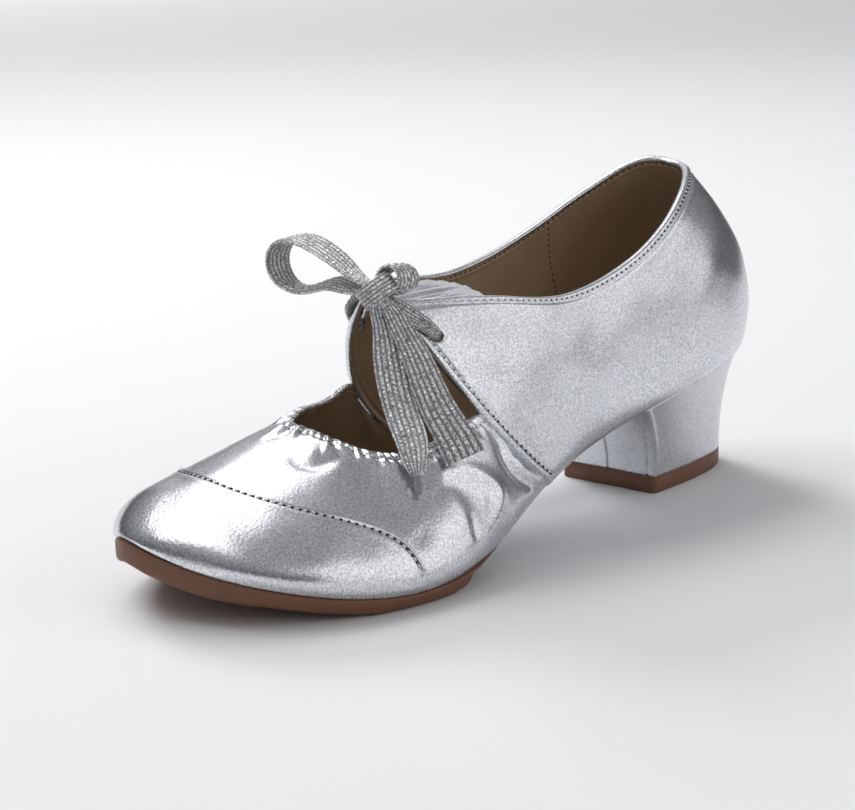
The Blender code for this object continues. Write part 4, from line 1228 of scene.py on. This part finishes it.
def pleats(down, along):
    """Height of the gathers below a drawn-in edge, with a dip along the seam of its casing."""
    rng = np.random.default_rng(PLEAT_SEED)
    middle = 0.5 * along.max()
    height = np.zeros(down.shape)
    centre = PLEAT_ENDS
    while centre < along.max() - PLEAT_ENDS:
        front = bell(centre - middle, FRONT_REACH)
        width = rng.uniform(*PLEAT_WIDTHS) * (1 + FRONT_WIDER * front)
        rise = PLEAT_RISE * rng.uniform(*PLEAT_HEIGHTS) * (1 + FRONT_HIGHER * front)
        reach = rng.uniform(*PLEAT_LENGTHS) * (1 + FRONT_LONGER * front)
        lean = rng.uniform(-PLEAT_LEAN, PLEAT_LEAN)
        across = along - centre - lean * (down - PLEAT_PIVOT)
        fade = 1 - smooth(down, PLEAT_FULL * reach, reach)
        height += rise * bell(across, width * (1 + PLEAT_SPREAD * down)) * fade
        centre += width * rng.uniform(*PLEAT_GAPS)
    hem, hem_depth = PLEAT_HEM
    height *= hem + (1 - hem) * smooth(down, 0.0, hem_depth)
    depth, dip_width = CASING_DIP
    return height - depth * bell(down - CASING, dip_width)


vamp_u = even_columns(vamp_controls, VAMP_KNOTS[0], VAMP_KNOTS[-1], VAMP_COLUMNS)
vamp_points, vamp_down, vamp_up = panel_grid(vamp_controls, vamp_u, VAMP_WALL_ROWS)
vamp_out = grid_normals(vamp_points)
throat_run = np.broadcast_to(run_of(vamp_points[:, -1])[:, None], vamp_down.shape)
notch_gap = np.minimum(throat_run, throat_run.max() - throat_run)
vamp_relief = pleats(vamp_down, throat_run) + folds(vamp_points, VAMP_FOLDS) + waves(vamp_points)
vamp_relief *= over_rows(vamp_points, RELIEF_ROWS) * smooth(notch_gap, *NOTCH_FADE)
vamp_relief += feather_roll(vamp_up, vamp_points[..., 0])
vamp_half = 0.5 * WALL * rounded(vamp_down)
vamp_face = raised(vamp_points, vamp_out, vamp_relief - 0.5 * WALL + vamp_half)
vamp_lining = raised(vamp_points, vamp_out, LINING_FOLLOWS * vamp_relief - 0.5 * WALL - vamp_half)
vamp = add_shell("vamp_leather", vamp_face, vamp_lining, [leather, lining], vamp_down < THROAT_FOLD)
dress(vamp, "silver_leather", "upper")

# %% [markdown]
# ## Toe cap
# The cap is a second layer over the toe, with a folded edge and one row of stitches. It follows the vamp's
# profiles, cut off at the seam, and stands a little above them.

# %% Toe cap
CAP_COLUMNS = 330
CAP_ROWS = 44
CAP_STITCH = 1.5
CAP_EDGE = np.array((*FINE_STEPS, 3.6, 4.4))
CAP_LEATHER = 0.9
CAP_START = (0.0, 2.5)
CAP_CALM = (1.0, 8.0)
CAP_HEM = (1.2, 0.15)


def cap_grid():
    """Points [column, row] of the toe cap's base, from the feather edge's corner up to the seam."""
    u = np.linspace(VAMP_KNOTS[0], VAMP_KNOTS[-1], LOOP_SAMPLES)
    edge = feather(u)
    capped = u[edge[:, 0] > cap_line(edge[:, 1])]
    columns = np.linspace(capped[0], capped[-1], CAP_COLUMNS)
    grid = []
    rise = []
    for at, shape in zip(columns, vamp_controls(columns)):
        start = CORNER_RADIUS / (3 * (shape[1] - shape[0])[2])
        line = bezier(np.broadcast_to(shape, (LOOP_SAMPLES, 4, 3)), np.linspace(start, 1, LOOP_SAMPLES))
        line = np.vstack([under_foot(at)[UNDER_ROWS - 1:], line])
        covered = line[:, 0] > cap_line(line[:, 1])
        last = max(CORNER_ROWS + 2, max(np.flatnonzero(covered), default=0) + 1)
        line = line[:last]
        run = run_of(line)
        edge_rows = CAP_EDGE * min(1.0, 0.5 * run[-1] / CAP_EDGE[-1])
        down = np.concatenate([np.linspace(run[-1], edge_rows[-1], CAP_ROWS)[:-1], edge_rows[::-1]])
        grid.append(read_off(line, run[-1] - down, run))
        rise.append(np.maximum(0.0, run[-1] - down - run[CORNER_ROWS + 1]))
    return np.array(grid), np.array(rise)


cap_points, cap_rise = cap_grid()
cap_out = grid_normals(cap_points)
cap_down, _ = near_line(cap_points, cap_points[:, -1])
cap_low, _ = near_line(cap_points, cap_points[:, 0])
cap_x = cap_points[..., 0]
cap_up = CAP_STEP * smooth(cap_low, *CAP_START) * at_the_tip(cap_x)
cap_up += waves(cap_points) * smooth(cap_low, *CAP_CALM)
cap_up += seam_roll(cap_down, CAP_STITCH) * smooth(cap_low, *SEAM_CROSSING) + feather_roll(cap_rise, cap_x)
cap_half = 0.5 * CAP_LEATHER * rounded(np.minimum(cap_down, CAP_HEM[0] * cap_low + CAP_HEM[1]))
cap_mid = cap_up - 0.5 * CAP_LEATHER
cap_face = raised(cap_points, cap_out, cap_mid + cap_half)
cap_back = raised(cap_points, cap_out, cap_mid - cap_half)
dress(add_shell("toe_cap_leather", cap_face, cap_back, [leather]), "silver_leather", "upper")

# %% [markdown]
# ## Instep strap
# A short strap of gathered elastic joins the wings under the lace. The gathers run along the foot, because
# the elastic pulls across it, so the strap is a bridge with waves across its length.

# %% Instep strap
STRAP_THICKNESS = 1.4
STRAP_CROWN = 2.0
STRAP_LEAD = 4.0
STRAP_ROWS = 60
STRAP_COLUMNS = 130
STRAP_GAP = 0.3
STRAP_SPAN = 6
GATHER = 4.4
GATHER_RISE = 0.38
GATHER_SIDES = (0.7, 0.3)
GATHER_AGAIN = (0.4, 4.1)
GATHER_BACK = 0.7
WANDER = (
    # amount, change across the strap, change along it
    (1.1, 3.1, 0.21),
    (0.9, 0.0, 0.35),
)


def strap_grid():
    """Points [column, row] of the strap's top, from the outer wing to the inner one."""
    rows = []
    for share in np.linspace(0, 1, STRAP_ROWS):
        foot = STRAP_FEET[0] + (STRAP_FEET[1] - STRAP_FEET[0]) * share
        sides = []
        for side in (1, -1):
            u = quarter_at(foot, side)
            sides.append([quarter(u, t) - quarter_normal(u, t) * (WALL + STRAP_GAP) for t in STRAP_TUCK])
        start, end = sides[0][-1], sides[1][-1]
        span = []
        for t in np.linspace(0, 1, STRAP_SPAN + 2)[1:-1]:
            swell = 4 * t * (1 - t)
            lift = np.array([STRAP_LEAD * (2 * share - 1) * swell, 0.0, STRAP_CROWN * swell])
            span.append(start + (end - start) * t + lift)
        line = np.array(sides[0] + span + sides[1][::-1])
        knots = run_of(line)
        rows.append(spline(knots, line, np.linspace(0, knots[-1], STRAP_COLUMNS)))
    return np.array(rows).transpose(1, 0, 2)


strap_points = strap_grid()
strap_out = grid_normals(strap_points)
strap_out *= np.sign(strap_out[STRAP_COLUMNS // 2, STRAP_ROWS // 2, 2])
strap_run = np.broadcast_to(run_of(strap_points[:, STRAP_ROWS // 2])[:, None], strap_points.shape[:2])
strap_side = np.broadcast_to(np.linspace(0, 1, STRAP_ROWS)[None, :], strap_points.shape[:2])
wander = sum(amount * np.sin(cross * strap_side + along * strap_run) for amount, cross, along in WANDER)
gather_turn = np.pi * strap_run / GATHER
gather = np.sin(2 * gather_turn + wander) + GATHER_AGAIN[0] * np.sin(GATHER_AGAIN[1] * gather_turn - wander)
strap_top = GATHER_RISE * gather * (GATHER_SIDES[0] - GATHER_SIDES[1] * np.cos(2 * np.pi * strap_side))
strap_face = raised(strap_points, strap_out, strap_top)
strap_back = raised(strap_points, strap_out, GATHER_BACK * strap_top - STRAP_THICKNESS)
dress(add_shell("instep_strap_gathered", strap_face, strap_back, [elastic]), "silver_elastic", "instep_strap")

# %% [markdown]
# ## Sole, insole, heel and lift
# These are plain bodies with rounded edges. Sole and insole share one maker: columns run from the middle
# line out to the feather edge, over the rounded side and back to the middle on the other face, so the
# edge can have any section. The heel is a loft between its seat and its lift.

# %% Plates
EDGE_STEPS = 6
FACE_STEPS = 7
PLATE_COLUMNS = 420
ROUNDEST = 0.48


def plate(columns, inset, taper, rounding, top, bottom, reach):
    """Outer columns of a plate with rounded edges: functions give its inset, taper and heights at x."""
    grid = []
    for u in columns:
        foot = feather(u)
        out = outward(u)
        x = np.clip(foot[0], *reach)
        middle = 0.5 * (feather(loop_at(x, 1)) + feather(loop_at(x, -1)))[:2]
        upper = (foot - out * inset(foot[0]))[:2]
        lower = (foot - out * (inset(foot[0]) + taper(foot[0])))[:2]
        thickness = top(upper[0]) - bottom(upper[0])
        section = []
        for share in np.linspace(1, 0, FACE_STEPS)[:-1]:
            x, y = lower + (middle - lower) * share
            section.append((x, y, bottom(x)))
        turn = np.linspace(0, np.pi / 2, EDGE_STEPS)
        rims = ((lower, bottom, rounding[0], turn), (upper, top, rounding[1], turn[::-1]))
        for edge, height, radius, angles in rims:
            radius = min(radius, ROUNDEST * thickness)
            away = radius if height is bottom else -radius
            level = height((edge - out[:2] * radius)[0])
            for angle in angles:
                x, y = edge + out[:2] * radius * (np.sin(angle) - 1)
                section.append((x, y, level + away * (1 - np.cos(angle))))
        for share in np.linspace(0, 1, FACE_STEPS)[1:]:
            x, y = upper + (middle - upper) * share
            section.append((x, y, top(x)))
        grid.append(section)
    return np.array(grid)


def plate_faces(grid, closed):
    """Points and faces of a plate: its two faces meet along the middle line, its cut end is closed."""
    index, faces = grid_faces(*grid.shape[:2], closed)
    if not closed:
        half = grid.shape[1] // 2
        for end, flip in ((index[0], 1), (index[-1], -1)):
            low, high = end[:half], end[-half:][::-1]
            ends = np.stack([low[:-1], high[:-1], high[1:], low[1:]], -1)[:, ::flip]
            faces = np.concatenate([faces, ends])
    return grid.reshape(-1, 3), faces.tolist()


SOLE_BACK = 147.0
SOLE_STEP = (160.5, 165.5)
SOLE_TAIL = (0.03, 0.16)
SOLE_EDGE = np.array((
    # along, inset of the upper edge, further inset of the lower edge
    (147.0, 0.5, 1.2),
    (160.5, -0.5, 1.2),
    (215.0, -0.5, 1.2),
    (243.0, 0.4, 0.0),
))
SOLE_ROUNDING = (2.1, 0.6)
SOLE_SWELL = (1.5, 236.0, 9.0)
BALL_FLAT = (170.0, 199.0)
SOLE_REACH = (SOLE_BACK, 222.0)
SOLE_LAP = 0.25
INSOLE_INSET = 4.0
INSOLE_ROUNDING = (0.6, 0.6)
INSOLE_REACH = (24.0, 218.0)
INSOLE_HEIGHTS = (WALL + 0.3, WALL + 2.3)


def sole_top(x):
    """Height of the half sole where it is glued under the foot."""
    return above_floor_line(x, SOLE_LAP)


def sole_bottom(x):
    """Height of the half sole's tread: a thin tail at the waist, and a swell under the toe."""
    if BALL_FLAT[0] <= x <= BALL_FLAT[1]:
        return 0.0
    tail = np.interp(x, (SOLE_BACK, SOLE_STEP[0]), SOLE_TAIL)
    thickness = SOLE_THICKNESS * (tail + (1 - tail) * smooth(x, *SOLE_STEP))
    rise, middle, width = SOLE_SWELL
    thickness += rise * bell(x - middle, width)
    return max(0.0, floor_line(x) - thickness)


def sole_inset(x):
    """The sole stands a little proud of the upper, but its tail and its tip lie within it."""
    return np.interp(x, SOLE_EDGE[:, 0], SOLE_EDGE[:, 1])


def sole_taper(x):
    """How far the sole's side leans in."""
    return np.interp(x, SOLE_EDGE[:, 0], SOLE_EDGE[:, 2])


sole_u = np.linspace(loop_at(SOLE_BACK, 1), loop_at(SOLE_BACK, -1), PLATE_COLUMNS)
sole_grid = plate(sole_u, sole_inset, sole_taper, SOLE_ROUNDING, sole_top, sole_bottom, SOLE_REACH)
sole = add_piece("half_sole_rubber", *plate_faces(sole_grid, False), [rubber])
dress(sole, "brown_rubber", "outsole_forefoot")
insole_u = np.linspace(0, LOOP_END, PLATE_COLUMNS, endpoint=False)
insole_grid = plate(insole_u, lambda x: INSOLE_INSET, lambda x: 0.0, INSOLE_ROUNDING,
                    lambda x: above_floor_line(x, INSOLE_HEIGHTS[1]),
                    lambda x: above_floor_line(x, INSOLE_HEIGHTS[0]), INSOLE_REACH)
insole = add_piece("insole_sock", *plate_faces(insole_grid, True), [lining])
dress(insole, "tan_lining", "insole")

# %% Heel and lift
HEEL_BREAST = 67.0
HEEL_INSET = 0.2
HEEL_FLARE = 2.2
HEEL_POINTS = 140
BREAST_POINTS = 181
HEEL_LEVELS = 48
HEEL_CORNER = 2.4
CORNER_POINTS = 7
LIFT_THICKNESS = 6.0
LIFT_BACK = 0.5
LIFT_BREAST = 56.0
LIFT_HALF_WIDTH = 19.5
LIFT_CENTRE = 2.4
LIFT_YAW = 5.8


def inset_edge(x, side, inset):
    """Distance across, at x, of the feather edge moved inward."""
    samples = OUTER_SAMPLES if side > 0 else INNER_SAMPLES
    edge = feather(samples) - outward(samples) * inset
    return np.interp(x, edge[:, 0], edge[:, 1])


def heel_outline():
    """Seat and lift outlines of the heel, point for point, from the outer breast corner round the back."""
    x = HEEL_INSET + (HEEL_BREAST - HEEL_INSET) * (1 - np.cos(np.linspace(0, np.pi / 2, HEEL_POINTS)))
    outer = np.column_stack([x[::-1], inset_edge(x[::-1], 1, HEEL_INSET)])
    inner = np.column_stack([x[1:], inset_edge(x[1:], -1, HEEL_INSET)])
    seat = np.vstack([outer, inner])
    half = 0.5 * (seat[:, 1].max() - seat[:, 1].min())
    middle = 0.5 * (seat[:, 1].max() + seat[:, 1].min())
    turn = np.radians(LIFT_YAW)
    arm = LIFT_BACK + seat[:, 0] / HEEL_BREAST * (LIFT_BREAST - LIFT_BACK) - LIFT_BREAST
    across = (seat[:, 1] - middle) * LIFT_HALF_WIDTH / half
    lift = np.column_stack([LIFT_BREAST + arm * np.cos(turn) - across * np.sin(turn),
                            LIFT_CENTRE + arm * np.sin(turn) + across * np.cos(turn)])
    return seat, lift


def with_breast(outline):
    """Close an outline across the breast, with its two corners rounded."""
    run = run_of(outline)
    wall = read_off(outline, np.linspace(HEEL_CORNER, run[-1] - HEEL_CORNER, 2 * HEEL_POINTS), run)
    first, last = outline[0], outline[-1]
    width = np.linalg.norm(first - last)
    flat = last + unit(first - last) * np.linspace(HEEL_CORNER, width - HEEL_CORNER, BREAST_POINTS)[:, None]
    s = np.linspace(0, 1, CORNER_POINTS + 2)[1:-1, None]
    corners = [(1 - s) ** 2 * start + 2 * s * (1 - s) * corner + s * s * end
               for start, corner, end in ((wall[-1], last, flat[0]), (flat[-1], first, wall[0]))]
    return np.vstack([wall, corners[0], flat, corners[1]])


def loft(rings):
    """Points and faces of a closed body through rings, with a fan at each end."""
    levels, count = rings.shape[:2]
    index = np.arange(levels * count).reshape(levels, count)
    nxt = np.roll(index, -1, 1)
    faces = np.stack([index[:-1], index[1:], nxt[1:], nxt[:-1]], -1).reshape(-1, 4).tolist()
    centres = rings[[0, -1]].mean(1)
    low, high = levels * count, levels * count + 1
    faces += [[int(a), int(b), low] for a, b in zip(index[0], nxt[0])]
    faces += [[int(b), int(a), high] for a, b in zip(index[-1], nxt[-1])]
    return np.vstack([rings.reshape(-1, 3), centres]), faces


print("heel:", HEEL_LEVELS, "rings of", 2 * (HEEL_POINTS + CORNER_POINTS) + BREAST_POINTS, "points")

# %% Heel block
HEEL_TOP = 0.985
HEEL_SHOULDER = (
    # share of the height, drawn in by
    (0.991, 0.20),
    (0.996, 0.60),
    (1.0, 1.20),
)
SEAT_GAP = 0.05
CORNER_RELIEF = (
    # height, width, points past the corner's start
    (0.70, 1.1, 2),
    (-0.60, 0.50, 10),
)
BREAST_SEAM = (-0.80, 0.40)

seat_ring, lift_ring = [with_breast(line) for line in heel_outline()]
ring_out = unit(np.roll(seat_ring, -1, 0) - np.roll(seat_ring, 1, 0)) @ np.array([[0.0, 1.0], [-1.0, 0.0]])
ring_out *= np.sign(np.sum(ring_out * (seat_ring - seat_ring.mean(0))))
ring_run = run_of(seat_ring)
ring_total = ring_run[-1] + np.linalg.norm(seat_ring[0] - seat_ring[-1])
wall_count = 2 * HEEL_POINTS
breast_at = wall_count + CORNER_POINTS + BREAST_POINTS // 2


def along_ring(place):
    """Distance of each ring point from one place on the ring, the short way round."""
    away = np.abs(ring_run - ring_run[place])
    return np.minimum(away, ring_total - away)


heel_relief = BREAST_SEAM[0] * bell(along_ring(breast_at), BREAST_SEAM[1])
for rise, width, past in CORNER_RELIEF:
    for place in (-1 - past, wall_count + past):
        heel_relief += rise * bell(along_ring(place), width)
heel_height = above_floor_line(seat_ring[:, 0], -SEAT_GAP) - LIFT_THICKNESS
heel_levels = [(share, 0.0) for share in np.linspace(0, HEEL_TOP, HEEL_LEVELS)]
heel_rings = []
for share, shoulder in (*heel_levels, *HEEL_SHOULDER):
    plan = lift_ring + (seat_ring - lift_ring) * share ** HEEL_FLARE
    plan = raised(plan, ring_out, heel_relief - shoulder)
    heel_rings.append(np.column_stack([plan, LIFT_THICKNESS + heel_height * share]))
heel = add_piece("heel_cover", *loft(np.array(heel_rings)), [shaded_heel_leather])
dress(heel, "heel_cover", "heel_block")

# %% Lift
LIFT_EDGES = (
    # height, drawn in by
    (0.0, 0.5),
    (0.15, 0.2),
    (0.5, 0.0),
    (LIFT_THICKNESS - 0.4, 0.0),
    (LIFT_THICKNESS - 0.1, 0.15),
    (LIFT_THICKNESS, 0.4),
)

lift_rings = []
for height, shrink in LIFT_EDGES:
    plan = lift_ring - unit(lift_ring - lift_ring.mean(0)) * shrink
    lift_rings.append(np.column_stack([plan, np.full(len(plan), height)]))
lift = add_piece("heel_lift_rubber", *loft(np.array(lift_rings)), [rubber])
dress(lift, "brown_rubber", "heel_top_lift")

# %% [markdown]
# ## Stitches
# Every seam is the same small thing repeated: a stitch, then a needle hole, whose shade is painted as a small
# dark bead. Geometry Nodes lay them along a line on the leather. The line carries the leather's outward
# direction, which turns each stitch to lie flat.

# %% Stitch tree
STITCH_SEGMENTS = 8
STITCH_RINGS = 5
STITCH_PITCH = 2.3
LINE_STEP = 0.5


def stitch_tree():
    """Node tree: beads along a line, flat on the direction that the line's points carry."""
    tree = bpy.data.node_groups.new("stitch_row", "GeometryNodeTree")
    tree.interface.new_socket("Geometry", in_out="INPUT", socket_type="NodeSocketGeometry")
    for name in ("Pitch", "Length", "Width", "Height"):
        tree.interface.new_socket(name, in_out="INPUT", socket_type="NodeSocketFloat")
    tree.interface.new_socket("Thread", in_out="INPUT", socket_type="NodeSocketMaterial")
    tree.interface.new_socket("Geometry", in_out="OUTPUT", socket_type="NodeSocketGeometry")
    given = add_node(tree, "NodeGroupInput")
    line = add_node(tree, "GeometryNodeMeshToCurve", {0: given.outputs["Geometry"]})
    points = add_node(tree, "GeometryNodeResampleCurve",
                      {"Curve": line.outputs[0], "Length": given.outputs["Pitch"]}, mode="LENGTH")
    out = add_node(tree, "GeometryNodeInputNamedAttribute", {"Name": "out"}, data_type="FLOAT_VECTOR")
    turn = add_node(tree, "FunctionNodeAxesToRotation",
                    {0: out.outputs["Attribute"], 1: add_node(tree, "GeometryNodeInputTangent").outputs[0]},
                    primary_axis="Z", secondary_axis="X")
    bead = add_node(tree, "GeometryNodeMeshUVSphere",
                    {"Segments": STITCH_SEGMENTS, "Rings": STITCH_RINGS, "Radius": 0.5})
    size = add_node(tree, "ShaderNodeCombineXYZ",
                    {0: given.outputs["Length"], 1: given.outputs["Width"], 2: given.outputs["Height"]})
    stitch = add_node(tree, "GeometryNodeTransform", {0: bead.outputs[0], "Scale": size.outputs[0]})
    row = add_node(tree, "GeometryNodeInstanceOnPoints",
                   {"Points": points.outputs[0], "Instance": stitch.outputs[0], "Rotation": turn.outputs[0]})
    solid = add_node(tree, "GeometryNodeRealizeInstances", {0: row.outputs[0]})
    dyed = add_node(tree, "GeometryNodeSetMaterial",
                    {0: solid.outputs[0], "Material": given.outputs["Thread"]})
    add_node(tree, "NodeGroupOutput", {0: dyed.outputs[0]})
    return tree


STITCH_ROW = stitch_tree()


def sew(name, slot, line, out, size, thread, pitch=STITCH_PITCH, start=0.0):
    """A row of stitches along a line in last millimetres, each turned to lie flat against out."""
    run = run_of(line)
    at = np.linspace(start, run[-1], int(run[-1] / LINE_STEP) + 2)
    line = read_off(line, at, run)
    out = read_off(out, at, run).astype(np.float32)
    mesh = bpy.data.meshes.new(name)
    mesh.from_pydata(to_row(line).tolist(), [(k, k + 1) for k in range(len(line) - 1)], [])
    mesh.attributes.new("out", "FLOAT_VECTOR", "POINT").data.foreach_set("vector", out.ravel())
    made = put(name, mesh)
    modifier = made.modifiers.new("stitches", "NODES")
    modifier.node_group = STITCH_ROW
    values = {"Pitch": pitch * MM, "Length": size[0] * MM, "Width": size[1] * MM, "Height": size[2] * MM,
              "Thread": thread}
    for socket in STITCH_ROW.interface.items_tree:
        if socket.name in values:
            modifier[socket.identifier] = values[socket.name]
    apply_modifiers(made)
    made.data.shade_smooth()
    dress(made, slot)


print("stitch tree:", len(STITCH_ROW.nodes), "nodes")

# %% Seam lines
STITCH = (1.25, 0.60, 0.56)
STITCH_LIFT = 0.10
# HOLE is the size of the dark bead that paints a needle hole's shade.
HOLE = (1.20, 0.80, 0.50)
HOLE_LIFT = 0.05
THROAT_STITCH = (1.5, 0.28, 0.24)
THROAT_PITCH = 2.0
HEEL_STITCH = (1.2, 0.32, 0.3)
HEEL_PITCH = 1.9
LINING_SEAM = 0.155
WALL_ROWS = slice(FIRST_WALL, None)
FRONT_ROWS = slice(FIRST_WALL + 2, -9)
LINING_ROWS = slice(FIRST_WALL + 8, -8)
COLLAR_COLUMNS = slice(18, -18)
SEAM_COLUMNS = slice(6, -6)
OUTER_COLUMNS = slice(-60, None)
INNER_COLUMNS = slice(0, 60)


def seam_line(surface, out, distance, value, columns, rows):
    """Line across a grid's columns at a distance from the edge, and the direction out of the leather."""
    line = []
    for points, turn, away in zip(surface[columns, rows], out[columns, rows], distance[columns, rows]):
        order = np.argsort(away)
        line.append(read_off(np.hstack([points, turn])[order], value, away[order])[0])
    line = np.array(line)
    return line[:, :3], unit(line[:, 3:])


def front_seam(columns):
    """The seam down the front edge of one wing: there the grid's rows are crossed instead of its columns."""
    return seam_line(quarter_face.swapaxes(0, 1), quarter_out.swapaxes(0, 1), quarter_front.T, FRONT_SEAM,
                     FRONT_ROWS, columns)


seams = {
    "collar": seam_line(quarter_face, quarter_out, quarter_down, COLLAR_SEAM, COLLAR_COLUMNS, WALL_ROWS),
    "front_outer": front_seam(OUTER_COLUMNS),
    "front_inner": front_seam(INNER_COLUMNS),
    "toe_cap": seam_line(cap_face, cap_out, cap_down, CAP_STITCH, SEAM_COLUMNS, slice(None)),
}
for name, (line, out) in seams.items():
    sew("stitches_" + name, "silver_leather", line + out * STITCH_LIFT, out, STITCH, silver_thread)
    # Between the stitches, dark beads paint the shade of the needle holes.
    sew("needle_hole_shades_" + name, "silver_leather", line + out * HOLE_LIFT, out, HOLE, needle_hole_shade,
        start=STITCH_PITCH / 2)
inside_seam = seam_line(quarter_lining, quarter_out, quarter_down, COLLAR_SEAM, COLLAR_COLUMNS, WALL_ROWS)
sew("stitches_lining", "tan_lining", *inside_seam, STITCH, dark_thread)
seam_column = np.argmin(np.abs(quarter_u - quarter_at(LINING_SEAM, -1)))
sew("stitches_lining_seam", "tan_lining", quarter_lining[seam_column, LINING_ROWS],
    quarter_out[seam_column, LINING_ROWS], STITCH, dark_thread)
throat_seam = seam_line(vamp_face, vamp_out, vamp_down, CASING, SEAM_COLUMNS, WALL_ROWS)
sew("stitches_throat", "silver_leather", *throat_seam, THROAT_STITCH, dark_thread, THROAT_PITCH)
breast_line = np.array([ring[breast_at] for ring in heel_rings[1:-len(HEEL_SHOULDER)]])
breast_out = np.tile((*ring_out[breast_at], 0.0), (len(breast_line), 1))
sew("stitches_heel", "heel_cover", breast_line, breast_out, HEEL_STITCH, dark_thread, HEEL_PITCH)
